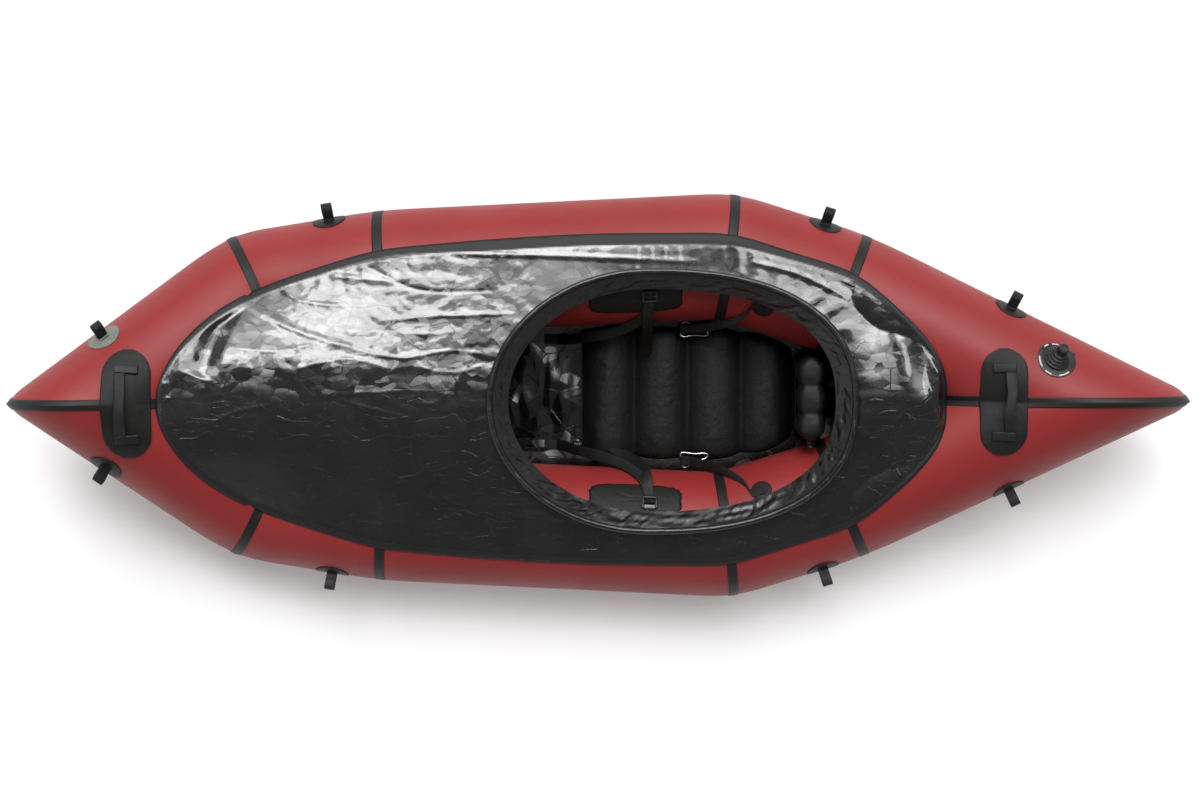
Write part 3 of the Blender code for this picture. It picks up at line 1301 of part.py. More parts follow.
def build_rear_strap(side_name, side):
    """Make the strap sewn on its patch, and the wire hook in its looped end."""
    patch = wall_patch(
        f"rear_strap_{side_name}", AFT_PANEL, REAR_ANCHOR_STATION, REAR_ANCHOR_LEAN, side,
        REAR_PATCH_RADIUS, REAR_PATCH_RADIUS, 2, (PATCH_GREY, 0.7),
    )
    lift = PATCH_LIFT + PATCH_THICKNESS
    frame = HULL.wall_frame(AFT_PANEL, REAR_ANCHOR_STATION, REAR_ANCHOR_LEAN, lift, side)
    leave = frame @ Vector((-REAR_PATCH_RADIUS, 0, WEBBING_THICKNESS / 2))
    reach = flip(Vector((-REAR_STRAP_RUN, -REAR_STRAP_INSET, -REAR_STRAP_DROP)), side)
    bar = leave + reach
    tip = bar + flip(Vector(HOOK_TIP_SHARES), side) * HOOK_LENGTH
    axis = (tip - bar).cross(Vector((0, 0, 1))).normalized()
    if axis.dot(frame.col[1].xyz) < 0:
        axis = -axis
    root = frame @ Vector((-REAR_PATCH_RADIUS * 0.4, 0, 0))
    clear = HOOK_WIRE + STRAP_LAYER_GAP + WEBBING_THICKNESS / 2
    half_pair = LAYER / 2
    far, mid, near, end = [STRAP_FOLD * share for share in FOLD_SHARES]
    fold = [
        (far, half_pair), (mid, half_pair), (near, clear * 0.8), (0.0, clear),
        (clear * 0.75, clear * 0.75), (clear, 0.0), (clear * 0.75, -clear * 0.75), (0.0, -clear),
        (near, -clear * 0.8), (mid, -half_pair), (end, -half_pair),
    ]
    points = [frame @ Vector((REAR_PATCH_RADIUS * 0.2, 0, 0)), root, leave]
    sides = [frame.col[1].xyz] * 3
    for number, way in enumerate(REAR_WAY_SHARES):
        points.append(leave + Vector(share * part for share, part in zip(way, reach)))
        sides.append(frame.col[1].xyz.lerp(axis, (number + 1) / (len(REAR_WAY_SHARES) + 1)))
    ahead = (bar - points[-1]).normalized()
    up = axis.cross(ahead).normalized()
    if up.z < 0:
        up = -up
    for along, out in fold:
        points.append(bar + ahead * along + up * out)
        sides.append(axis)
    strap = ribbon(
        f"rear_webbing_{side_name}", points, sides, STRAP_WIDTH * 0.9,
        WEBBING_THICKNESS, (WEBBING_BLACK, 0.7),
    )
    join_solid(patch, strap)
    wide, narrow = STRAP_WIDTH / 2 + HOOK_WIRE * 1.5, HOOK_WIDTH / 2
    aft = (tip - bar).normalized()
    long, corner = HOOK_LENGTH, wide + HOOK_WIRE * 0.9
    outline = [
        (0, -wide * 0.5), (0, 0.0), (0, wide * 0.5), (0.0, wide), (HOOK_SHOULDER, corner),
        (HOOK_SHOULDER * 2.5, wide), (long * 0.55, narrow * 1.3), (long * 0.85, narrow),
        (long * 0.98, narrow * 0.5), (long, 0.0), (long * 0.98, -narrow * 0.5),
        (long * 0.85, -narrow), (long * 0.55, -narrow * 1.3), (HOOK_SHOULDER * 2.5, -wide),
        (HOOK_SHOULDER, -corner), (0.0, -wide),
    ]
    centres = [bar + aft * along + axis * across for along, across in outline]
    normal = aft.cross(axis).normalized()
    rings = []
    for k, centre in enumerate(centres):
        along = (centres[(k + 1) % len(centres)] - centres[k - 1]).normalized()
        first = along.cross(normal)
        rings.append([
            centre + (first * math.cos(TURN * m / 6) + normal * math.sin(TURN * m / 6)) * HOOK_WIRE
            for m in range(6)
        ])
    loft(f"strap_hook_{side_name}", rings, (STEEL_GREY, 0.3, 1.0), closed_path=True)


def build_straps():
    """Make each side's anchor, ladder-lock, adjuster, rear strap and hook."""
    for side_name, side in both_sides():
        build_adjuster(side_name, side, *build_buckle(side_name, side))
        build_rear_strap(side_name, side)


def main():
    """Clear the scene and build every piece."""
    for thing in list(bpy.data.objects):
        bpy.data.objects.remove(thing)
    panels = build_tube_panels()
    build_seam_tapes()
    build_floor()
    build_deck()
    build_coaming()
    build_seat()
    build_backrest()
    build_tie_downs()
    build_handles()
    build_main_valve(panels)
    build_straps()


main()
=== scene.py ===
"""A decked packraft: its visible pieces, finishes, light and camera.

Metres, +X to the stern, +Y to starboard, +Z up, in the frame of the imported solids.
Every piece is made here from the hull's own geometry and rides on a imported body.
"""

import logging
from dataclasses import dataclass, field
from enum import Enum
from math import asin, atan, atan2, ceil, copysign, cos, degrees, exp, pi, radians, sin, sqrt, tan
from typing import Callable, Optional, Sequence

import bmesh
import bpy
import numpy as np
from mathutils import Matrix, Vector, noise

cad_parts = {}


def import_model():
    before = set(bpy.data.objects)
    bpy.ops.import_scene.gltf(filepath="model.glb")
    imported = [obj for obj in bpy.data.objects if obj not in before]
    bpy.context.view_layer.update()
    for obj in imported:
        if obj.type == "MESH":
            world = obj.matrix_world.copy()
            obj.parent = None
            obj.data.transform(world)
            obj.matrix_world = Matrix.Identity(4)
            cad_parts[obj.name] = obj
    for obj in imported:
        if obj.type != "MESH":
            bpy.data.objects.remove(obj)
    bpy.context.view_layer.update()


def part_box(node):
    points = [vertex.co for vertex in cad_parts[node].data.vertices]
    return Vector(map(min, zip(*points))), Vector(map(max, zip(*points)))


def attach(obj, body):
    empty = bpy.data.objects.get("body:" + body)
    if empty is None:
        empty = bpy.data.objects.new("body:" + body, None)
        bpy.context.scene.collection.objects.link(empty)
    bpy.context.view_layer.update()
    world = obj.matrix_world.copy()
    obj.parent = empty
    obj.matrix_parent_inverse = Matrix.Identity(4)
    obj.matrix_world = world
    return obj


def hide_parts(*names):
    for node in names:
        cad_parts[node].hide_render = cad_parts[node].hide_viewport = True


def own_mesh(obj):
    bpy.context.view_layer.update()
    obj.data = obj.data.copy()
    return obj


LOG = logging.getLogger("packraft")
Mesh = bmesh.types.BMesh
Socket = bpy.types.NodeSocket
Tree = bpy.types.NodeTree
Array = np.ndarray
TURN = 2 * pi
MILLIMETRE = 0.001
PIXEL = 0.002293
MERGE = 0.00001
ROOT = "hull"

# Sizes shared with the solids
TUBE_RADIUS = 0.1475
GAP = 0.0003
SKIN = 0.0006
TAPE_WIDTH = 0.024
TAPE_THICKNESS = 0.0006
FLOOR_THICKNESS = 0.0010
PATCH_LIFT = 0.0007
PATCH_THICKNESS = 0.0012
WEBBING_THICKNESS = 0.0015
STRAP_WIDTH = 0.025
LAYER_GAP = 0.0006
LAYER = WEBBING_THICKNESS + LAYER_GAP
NEAR_LAYER = LAYER_GAP + WEBBING_THICKNESS / 2
BLADDER_WALL = 0.0012
KEEL_DROP = TUBE_RADIUS + TAPE_THICKNESS + 2 * GAP
FLOOR_TOP = 2 * GAP + FLOOR_THICKNESS
ON_PATCH = PATCH_LIFT + PATCH_THICKNESS

Grid = Callable[[float, float], Vector]


class Side(Enum):
    """A side of the raft, by the sign of its distance across."""

    STARBOARD = 1
    PORT = -1

    @property
    def label(self) -> str:
        """Return the side's name as the solids use it."""
        return self.name.lower()

    @property
    def mirror(self) -> Matrix:
        """Return the matrix that brings starboard pieces to this side."""
        return Matrix.Diagonal((1, self.value, 1, 1))

    def flip(self, point: Vector) -> Vector:
        """Return a starboard point moved to this side."""
        return Vector((point.x, point.y * self.value, point.z))


class Coordinates(Enum):
    """What a pattern follows: the piece's own place, or its own unrolled surface."""

    OBJECT = "Object"
    SURFACE = "UV"


def smoothstep(value: float) -> float:
    """Return 0 to 1 with a soft start and end."""
    held = min(max(value, 0.0), 1.0)
    return held * held * (3 - 2 * held)


def bumps(x: float, y: float, z: float) -> float:
    """Return how far smooth random bumps stand at a place, -1 to 1."""
    return noise.noise(Vector((x, y, z)))


def signed_power(value: float, power: float) -> float:
    """Return a power of a value's size, with the value's sign."""
    return copysign(abs(value) ** power, value)


def axes(x_axis: Vector, z_axis: Vector) -> Matrix:
    """Return the turn to these X and Z axes."""
    return Matrix((x_axis, z_axis.cross(x_axis), z_axis)).transposed().to_4x4()


def put(name: str, data: bpy.types.ID) -> bpy.types.Object:
    """Put a mesh, lamp or camera in the scene."""
    thing = bpy.data.objects.new(name, data)
    bpy.context.scene.collection.objects.link(thing)
    return thing


def smooth_path(points: Sequence[Vector], steps: int, closed: bool = False) -> list[Vector]:
    """Run a smooth curve through a few points.

    Args:
        points: The points that the curve passes.
        steps: How many short lines lie between two points.
        closed: Whether the last point joins the first.

    Returns:
        The curve's points.
    """
    count = len(points)
    spans = count if closed else count - 1
    path = []
    for span in range(spans):
        near = [
            points[(span + k) % count] if closed else points[min(max(span + k, 0), count - 1)]
            for k in (-1, 0, 1, 2)
        ]
        for step in range(steps):
            t = step / steps
            path.append(0.5 * (
                2 * near[1] + (near[2] - near[0]) * t
                + (2 * near[0] - 5 * near[1] + 4 * near[2] - near[3]) * t * t
                + (3 * near[1] - near[0] - 3 * near[2] + near[3]) * t * t * t
            ))
    return path if closed else [*path, points[-1].copy()]


def surface(columns: int, rows: int, place: Grid, size: tuple[float, float]) -> Mesh:
    """Lay a grid on a surface, with its unrolled size as a UV map.

    Args:
        columns: Faces along u.
        rows: Faces along v.
        place: The point for a (u, v), each from 0 to 1.
        size: The unrolled width and length, in metres.

    Returns:
        The mesh, with its doubles merged.
    """
    bm = bmesh.new()
    bmesh.ops.create_grid(bm, x_segments=columns, y_segments=rows, size=0.5, calc_uvs=True)
    layer = bm.loops.layers.uv.verify()
    for face in bm.faces:
        for loop in face.loops:
            flat = loop.vert.co
            loop[layer].uv = ((flat.x + 0.5) * size[0], (flat.y + 0.5) * size[1])
    for vert in bm.verts:
        vert.co = place(vert.co.x + 0.5, vert.co.y + 0.5)
    bmesh.ops.remove_doubles(bm, verts=bm.verts, dist=MERGE)
    return bm


def sweep(rings: Sequence[Sequence[Vector]], size: tuple[float, float], closed: bool = False) -> Mesh:
    """Skin a row of like closed rings.

    Args:
        rings: The rings, each with the same number of points.
        size: The unrolled girth and length, in metres.
        closed: Whether the last ring joins the first.

    Returns:
        A closed mesh.
    """
    last = len(rings) if closed else len(rings) - 1
    girth = len(rings[0])

    def place(u: float, v: float) -> Vector:
        """Return one ring's point."""
        return rings[round(v * last) % len(rings)][round(u * girth) % girth]

    bm = surface(girth, last, place, size)
    if not closed:
        rims = [edge for edge in bm.edges if edge.is_boundary]
        bmesh.ops.holes_fill(bm, edges=rims, sides=0)
    bmesh.ops.recalc_face_normals(bm, faces=bm.faces)
    return bm


def length_of(points: Sequence[Vector]) -> float:
    """Return the length of a row of points."""
    return sum((b - a).length for a, b in zip(points, points[1:]))


def webbing(
    path: Sequence[Vector],
    across: Sequence[Vector],
    widths: Sequence[float],
    thickness: float = WEBBING_THICKNESS,
    ripple: float = 0.0,
) -> Mesh:
    """Run a flat woven strap with rounded edges along a path.

    Args:
        path: The strap's middle line.
        across: The direction of its width at each point.
        widths: Its width at each point.
        thickness: Its thickness.
        ripple: How far its middle waves, as on slack webbing.

    Returns:
        A closed mesh whose UV map runs across and along.
    """
    profile = (
        (-0.5, 0.0), (-0.485, 0.36), (-0.44, 0.5), (-0.2, 0.5), (0.0, 0.5), (0.2, 0.5), (0.44, 0.5),
        (0.485, 0.36), (0.5, 0.0), (0.485, -0.36), (0.44, -0.5), (0.2, -0.5), (0.0, -0.5),
        (-0.2, -0.5), (-0.44, -0.5), (-0.485, -0.36),
    )
    rings = []
    last = len(path) - 1
    for i, point in enumerate(path):
        along = path[min(i + 1, last)] - path[max(i - 1, 0)]
        side = across[i].normalized()
        face = along.cross(side).normalized()
        wave = sin(i * 1.7) * ripple
        rings.append([
            point + side * (u * widths[i]) + face * (t * thickness + wave * (1 - 4 * u * u))
            for u, t in profile
        ])
    return sweep(rings, (2 * max(widths), length_of(path)))


def wire(path: Sequence[Vector], radius: float, sides: int, up: Vector, closed: bool) -> Mesh:
    """Run a round wire along a path.

    Args:
        path: The wire's middle line.
        radius: Its radius.
        sides: How many points go round it.
        up: A direction that the path stays about square to.
        closed: Whether the path is a loop.

    Returns:
        A closed mesh.
    """
    rings = []
    count = len(path)
    for i in range(count):
        ahead = path[(i + 1) % count] if closed else path[min(i + 1, count - 1)]
        behind = path[i - 1] if closed else path[max(i - 1, 0)]
        along = (ahead - behind).normalized()
        first = up.cross(along).normalized()
        second = along.cross(first)
        rings.append([
            path[i] + (first * cos(TURN * k / sides) + second * sin(TURN * k / sides)) * radius
            for k in range(sides)
        ])
    return sweep(rings, (TURN * radius, length_of(path)), closed)


def lathe(profile: Sequence[tuple[float, float]], frame: Matrix, steps: int, closed: bool = False) -> Mesh:
    """Turn a profile of (radius, height) about a frame's Z axis.

    Args:
        profile: The points to turn; a solid's first and last lie on the axis.
        frame: Where the axis is.
        steps: How many flats go round.
        closed: Whether the profile is a loop, as for a ring.

    Returns:
        A closed mesh.
    """
    bm = bmesh.new()
    verts = [bm.verts.new((radius, 0.0, height)) for radius, height in profile]
    edges = [bm.edges.new(pair) for pair in zip(verts, verts[1:])]
    if closed:
        edges.append(bm.edges.new((verts[-1], verts[0])))
    bmesh.ops.spin(
        bm, geom=verts + edges, cent=(0, 0, 0), axis=(0, 0, 1), dvec=(0, 0, 0),
        angle=TURN, steps=steps, use_merge=True,
    )
    bmesh.ops.remove_doubles(bm, verts=bm.verts, dist=MERGE)
    bmesh.ops.transform(bm, matrix=frame, verts=bm.verts)
    bmesh.ops.recalc_face_normals(bm, faces=bm.faces)
    return bm


def rounded_block(low: Vector, high: Vector, frame: Matrix, radius: float, segments: int = 3) -> Mesh:
    """Make a block with rounded edges in a frame.

    Args:
        low: Its lowest corner.
        high: Its highest corner.
        frame: The frame that the corners are in.
        radius: The radius of its edges.
        segments: How many facets round an edge.

    Returns:
        A closed mesh.
    """
    bm = bmesh.new()
    bmesh.ops.create_cube(bm, size=1.0)
    bmesh.ops.scale(bm, vec=high - low, verts=bm.verts)
    bmesh.ops.translate(bm, vec=(low + high) / 2, verts=bm.verts)
    bmesh.ops.bevel(
        bm, geom=bm.edges[:] + bm.verts[:], offset=radius, offset_type="OFFSET",
        segments=segments, profile=0.5, affect="EDGES", material=-1,
    )
    bmesh.ops.transform(bm, matrix=frame, verts=bm.verts)
    bmesh.ops.recalc_face_normals(bm, faces=bm.faces)
    return bm


def merged(*parts: Mesh) -> Mesh:
    """Put several closed meshes in one piece, and free the rest."""
    whole = bmesh.new()
    whole.loops.layers.uv.verify()
    for part in parts:
        mesh = bpy.data.meshes.new("part")
        part.to_mesh(mesh)
        part.free()
        whole.from_mesh(mesh)
        bpy.data.meshes.remove(mesh)
    return whole


@dataclass(frozen=True)
class Wall:
    """The thickness that a sheet gets."""

    thickness: float
    offset: float = 1.0


def publish(
    name: str,
    bm: Mesh,
    finish: str,
    body: str = ROOT,
    replaces: Sequence[str] = (),
    wall: Optional[Wall] = None,
    smooth_angle: float = 50.0,
    outward: Optional[Vector] = None,
) -> bpy.types.Object:
    """Turn a mesh into a piece that rides on a body.

    Args:
        name: The piece's name.
        bm: Its mesh, in place; it is freed.
        finish: The name of its finish.
        body: The body that it rides on.
        replaces: The solids that it stands for.
        wall: The thickness of a sheet.
        smooth_angle: The angle in degrees above which an edge stays sharp.
        outward: The direction that an open sheet's faces look to on the whole.

    Returns:
        The piece.
    """
    if outward is not None:
        bm.normal_update()
        if sum(face.normal.dot(outward) * face.calc_area() for face in bm.faces) < 0:
            bmesh.ops.reverse_faces(bm, faces=bm.faces)
    mesh = bpy.data.meshes.new(name)
    bm.to_mesh(mesh)
    bm.free()
    mesh.shade_smooth()
    mesh.set_sharp_from_angle(angle=radians(smooth_angle))
    mesh.materials.append(bpy.data.materials[finish])
    piece = put(name, mesh)
    if wall is not None:
        solid = piece.modifiers.new("wall", "SOLIDIFY")
        solid.thickness = wall.thickness
        solid.offset = wall.offset
        solid.use_even_offset = True
        solid.thickness_clamp = 1.0
    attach(piece, body)
    if replaces:
        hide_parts(*replaces)
    LOG.info("%s: %d faces on %s", name, len(mesh.polygons), body)
    return piece


# ---- Finishes


class Nodes:
    """A small hand for wiring a node tree."""

    def __init__(self, tree: Tree) -> None:
        """Keep the tree that the nodes go in."""
        self.tree = tree

    def add(self, kind: str, settings: Optional[dict] = None, **inputs: object) -> bpy.types.Node:
        """Add a node, and set or link its inputs.

        Args:
            kind: The node's type.
            settings: Its own properties.
            inputs: Values or sockets, by the input's name with _ for a space, or by iN.

        Returns:
            The node.
        """
        node = self.tree.nodes.new(kind)
        for key, value in (settings or {}).items():
            setattr(node, key, value)
        for key, value in inputs.items():
            numbered = key[0] == "i" and key[1:].isdigit()
            socket = node.inputs[int(key[1:])] if numbered else node.inputs[key.replace("_", " ")]
            if isinstance(value, Socket):
                self.tree.links.new(value, socket)
            else:
                socket.default_value = value
        return node

    def math(self, operation: str, first: object, second: object = 0.0, clamp: bool = False) -> Socket:
        """Add a Math node and return its result."""
        settings = {"operation": operation, "use_clamp": clamp}
        return self.add("ShaderNodeMath", settings, i0=first, i1=second).outputs[0]

    def vector(self, operation: str, first: object, second: object) -> Socket:
        """Add a Vector Math node and return its result."""
        node = self.add("ShaderNodeVectorMath", {"operation": operation}, i0=first, i1=second)
        return node.outputs["Value" if operation == "DOT_PRODUCT" else "Vector"]

    def blend(self, share: object, first: object, second: object) -> Socket:
        """Mix two colours and return the result."""
        settings = {"data_type": "RGBA"}
        return self.add("ShaderNodeMix", settings, i0=share, i6=first, i7=second).outputs[2]

    def group(self, tree: Tree, **inputs: object) -> bpy.types.Node:
        """Add a shared node group."""
        return self.add("ShaderNodeGroup", {"node_tree": tree}, **inputs)

    def painted(self, attribute: str) -> Socket:
        """Return what an attribute paints on the mesh."""
        return self.add("ShaderNodeAttribute", {"attribute_name": attribute}).outputs["Fac"]

    def ramp(self, value: object, low: float, high: float) -> Socket:
        """Map a value from low and high to 0 and 1."""
        settings = {"interpolation_type": "SMOOTHSTEP"}
        return self.add("ShaderNodeMapRange", settings, i0=value, i1=low, i2=high).outputs[0]


def new_group(name: str, inputs: dict[str, tuple[str, object]], outputs: dict[str, str]) -> tuple:
    """Start a shader node group.

    Args:
        name: The group's name.
        inputs: Each input's kind and default value.
        outputs: Each output's kind.

    Returns:
        The group's tree, its Nodes, its input node and its output node.
    """
    tree = bpy.data.node_groups.new(name, "ShaderNodeTree")
    for label, (kind, value) in inputs.items():
        socket = tree.interface.new_socket(name=label, in_out="INPUT", socket_type=f"NodeSocket{kind}")
        if kind != "Vector":
            socket.default_value = value
    for label, kind in outputs.items():
        tree.interface.new_socket(name=label, in_out="OUTPUT", socket_type=f"NodeSocket{kind}")
    hand = Nodes(tree)
    return tree, hand, tree.nodes.new("NodeGroupInput"), tree.nodes.new("NodeGroupOutput")


def weave_group() -> Tree:
    """Return the threads of plain cloth: their height, and a painted shade for the low gaps between them."""
    inputs = {"Vector": ("Vector", None), "Pitch": ("Float", 0.001)}
    tree, hand, entry, leave = new_group("plain weave", inputs, {"Height": "Float", "Gaps": "Float"})
    split = hand.add("ShaderNodeSeparateXYZ", Vector=entry.outputs["Vector"])
    turns = hand.math("DIVIDE", pi, entry.outputs["Pitch"])
    warp = hand.math("SINE", hand.math("MULTIPLY", split.outputs[0], turns))
    weft = hand.math("SINE", hand.math("MULTIPLY", split.outputs[1], turns))
    crossed = hand.math("ABSOLUTE", hand.math("MULTIPLY", warp, weft))
    height = hand.math("POWER", crossed, 0.5)
    tree.links.new(height, leave.inputs["Height"])
    tree.links.new(hand.math("SUBTRACT", 1.0, height), leave.inputs["Gaps"])
    return tree


def crumple_group() -> Tree:
    """Return the fine creases of a coated cloth, as sharp ridges between soft planes."""
    inputs = {"Vector": ("Vector", None), "Size": ("Float", 0.04)}
    tree, hand, entry, leave = new_group("crumple", inputs, {"Height": "Float"})
    scale = hand.math("DIVIDE", 1.0, entry.outputs["Size"])
    parts = []
    for step, (finer, weight) in enumerate(((1.0, 1.0), (2.3, 0.45), (5.1, 0.16))):
        waves = hand.add(
            "ShaderNodeTexNoise", {"noise_dimensions": "4D"}, Vector=entry.outputs["Vector"],
            W=3.7 * step, Scale=hand.math("MULTIPLY", scale, finer), Detail=1.0, Roughness=0.4,
        )
        folded = hand.math("ABSOLUTE", hand.math("SUBTRACT", waves.outputs[0], 0.5))
        parts.append(hand.math("MULTIPLY", folded, weight))
    height = hand.math("ADD", hand.math("ADD", parts[0], parts[1]), parts[2])
    tree.links.new(height, leave.inputs["Height"])
    return tree


def foil_group() -> Tree:
    """Return the facets of a stiff glossy cloth, each tilted its own way between thin creases."""
    inputs = {"Vector": ("Vector", None), "Size": ("Float", 0.05)}
    tree, hand, entry, leave = new_group("foil facets", inputs, {"Height": "Float"})
    scale = hand.math("DIVIDE", 1.0, entry.outputs["Size"])
    half = (0.5, 0.5, 0.5)
    wander = hand.add("ShaderNodeTexNoise", Vector=entry.outputs["Vector"], Scale=scale, Detail=0.0)
    drift = hand.vector("SUBTRACT", wander.outputs["Color"], half)
    reach = hand.math("MULTIPLY", entry.outputs["Size"], 0.5)
    drift = hand.vector("MULTIPLY", drift, reach)
    bent = hand.vector("ADD", entry.outputs["Vector"], drift)
    drawn = hand.vector("MULTIPLY", bent, (0.55, 1.0, 0.0))
    height = 0.0
    for finer, weight in ((1.0, 0.19), (2.9, 0.35)):
        cells = hand.add(
            "ShaderNodeTexVoronoi", {"voronoi_dimensions": "2D", "feature": "SMOOTH_F1"}, Vector=drawn,
            Scale=hand.math("MULTIPLY", scale, finer), Smoothness=0.05,
        )
        lean = hand.vector("SUBTRACT", cells.outputs["Color"], half)
        from_middle = hand.vector("SUBTRACT", drawn, cells.outputs["Position"])
        tilt = hand.vector("DOT_PRODUCT", lean, from_middle)
        height = hand.math("ADD", height, hand.math("MULTIPLY", tilt, weight))
    tree.links.new(height, leave.inputs["Height"])
    return tree


def wear_group() -> Tree:
    """Return a surface's uneven tone: broad mottling and short scuffs."""
    inputs = {"Vector": ("Vector", None), "Size": ("Float", 0.1)}
    tree, hand, entry, leave = new_group("tone and wear", inputs, {"Tone": "Float", "Scuffs": "Float"})
    scale = hand.math("DIVIDE", 1.0, entry.outputs["Size"])
    vector = entry.outputs["Vector"]
    broad = hand.add("ShaderNodeTexNoise", Vector=vector, Scale=scale, Detail=5.0, Roughness=0.6)
    stretched = hand.add("ShaderNodeMapping", Vector=vector, Rotation=(0.3, 0.2, 0.7), Scale=(1.0, 9.0, 5.0))
    fine = hand.math("MULTIPLY", scale, 3.0)
    streaks = hand.add("ShaderNodeTexNoise", Vector=stretched.outputs[0], Scale=fine, Detail=3.0, Roughness=0.7)
    tree.links.new(hand.ramp(broad.outputs[0], 0.3, 0.7), leave.inputs["Tone"])
    tree.links.new(hand.ramp(streaks.outputs[0], 0.62, 0.75), leave.inputs["Scuffs"])
    return tree


def rib_group() -> Tree:
    """Return the ribs of woven webbing: chevrons along it, and a painted shade in their low places."""
    inputs = {"Vector": ("Vector", None), "Pitch": ("Float", 0.0016)}
    tree, hand, entry, leave = new_group("webbing ribs", inputs, {"Height": "Float", "Gaps": "Float"})
    split = hand.add("ShaderNodeSeparateXYZ", Vector=entry.outputs["Vector"])
    turns = hand.math("DIVIDE", TURN, entry.outputs["Pitch"])
    row = hand.math("SINE", hand.math("MULTIPLY", split.outputs[1], turns))
    column = hand.math("SINE", hand.math("MULTIPLY", split.outputs[0], turns))
    slant = hand.math("ADD", split.outputs[1], hand.math("MULTIPLY", column, 0.0004))
    chevron = hand.math("SINE", hand.math("MULTIPLY", slant, turns))
    height = hand.math("ADD", hand.math("MULTIPLY", chevron, 0.35), hand.math("MULTIPLY", row, 0.15))
    tree.links.new(hand.math("ADD", height, 0.5), leave.inputs["Height"])
    # The ribs' lowest places are given out as a painted shade.
    tree.links.new(hand.ramp(height, -0.2, -0.45), leave.inputs["Gaps"])
    return tree


@dataclass(frozen=True)
class Finish:
    """What a surface is made of and how it has worn, with a painted shade in its pattern's low places."""

    name: str
    colour: tuple[float, float, float]
    worn: tuple[float, float, float]
    roughness: float
    spread: float = 0.08
    metallic: float = 0.0
    specular: float = 0.5
    coat: float = 0.0
    coat_roughness: float = 0.1
    coat_ior: float = 1.5
    pattern: str = ""
    pitch: float = 0.001
    relief: float = 0.0
    creases: float = 0.0
    crease_size: float = 0.04
    crease_kind: str = "crumple"
    crease_band: str = ""
    tone_size: float = 0.12
    tone: float = 0.35
    scuffs: float = 0.2
    follows: Coordinates = Coordinates.OBJECT
    matt_band: str = ""
    pale_band: str = ""

    def build(self, groups: dict[str, Tree]) -> None:
        """Make the material.

        Args:
            groups: The shared node groups, by name.
        """
        material = bpy.data.materials.new(self.name)
        material.use_nodes = True
        hand, links = Nodes(material.node_tree), material.node_tree.links
        shader = material.node_tree.nodes["Principled BSDF"]
        plain = {
            "Metallic": self.metallic, "Specular IOR Level": self.specular, "Coat Weight": self.coat,
            "Coat Roughness": self.coat_roughness, "Coat IOR": self.coat_ior,
        }
        for label, value in plain.items():
            shader.inputs[label].default_value = value
        where = hand.add("ShaderNodeTexCoord")
        place = where.outputs["Object"]
        wear = hand.group(groups["wear"], Vector=place, Size=self.tone_size)
        tone = hand.math("MULTIPLY", wear.outputs["Tone"], self.tone)
        marks = hand.math("MULTIPLY", wear.outputs["Scuffs"], self.scuffs)
        share = hand.math("MAXIMUM", tone, marks)
        if self.pale_band:
            share = hand.math("MAXIMUM", share, hand.painted(self.pale_band))
        colour = hand.blend(share, (*self.colour, 1.0), (*self.worn, 1.0))
        normal = None
        if self.creases > 0:
            creased = hand.group(groups[self.crease_kind], Vector=place, Size=self.crease_size)
            height = creased.outputs["Height"]
            if self.crease_band:
                height = hand.math("MULTIPLY", height, hand.painted(self.crease_band))
            normal = hand.add("ShaderNodeBump", Strength=1.0, Distance=self.creases, Height=height).outputs[0]
        if self.pattern:
            threads = hand.group(groups[self.pattern], Vector=where.outputs[self.follows.value], Pitch=self.pitch)
            # The pattern's low places, the gaps of a weave and the grooves of webbing ribs, get a painted shade: a
            # darker copy of the colour is mixed in there.
            gap_shade_colour = tuple(part * 0.45 for part in self.colour)
            gap_shade = hand.math("MULTIPLY", threads.outputs["Gaps"], 0.6)
            colour = hand.blend(gap_shade, colour, (*gap_shade_colour, 1.0))
            woven = threads.outputs["Height"]
            bump = hand.add("ShaderNodeBump", Strength=1.0, Distance=self.relief, Height=woven)
            if normal is not None:
                links.new(normal, bump.inputs["Normal"])
            normal = bump.outputs[0]
        matt = hand.math("MULTIPLY_ADD", wear.outputs["Tone"], self.spread)
        matt.node.inputs[2].default_value = self.roughness - self.spread / 2
        if self.matt_band:
            band = hand.painted(self.matt_band)
            matt = hand.math("MAXIMUM", matt, hand.math("MULTIPLY", band, 0.6))
            bare = hand.math("SUBTRACT", 1.0, band, clamp=True)
            links.new(hand.math("MULTIPLY", bare, self.coat), shader.inputs["Coat Weight"])
        links.new(colour, shader.inputs["Base Color"])
        links.new(matt, shader.inputs["Roughness"])
        if normal is not None:
            links.new(normal, shader.inputs["Normal"])


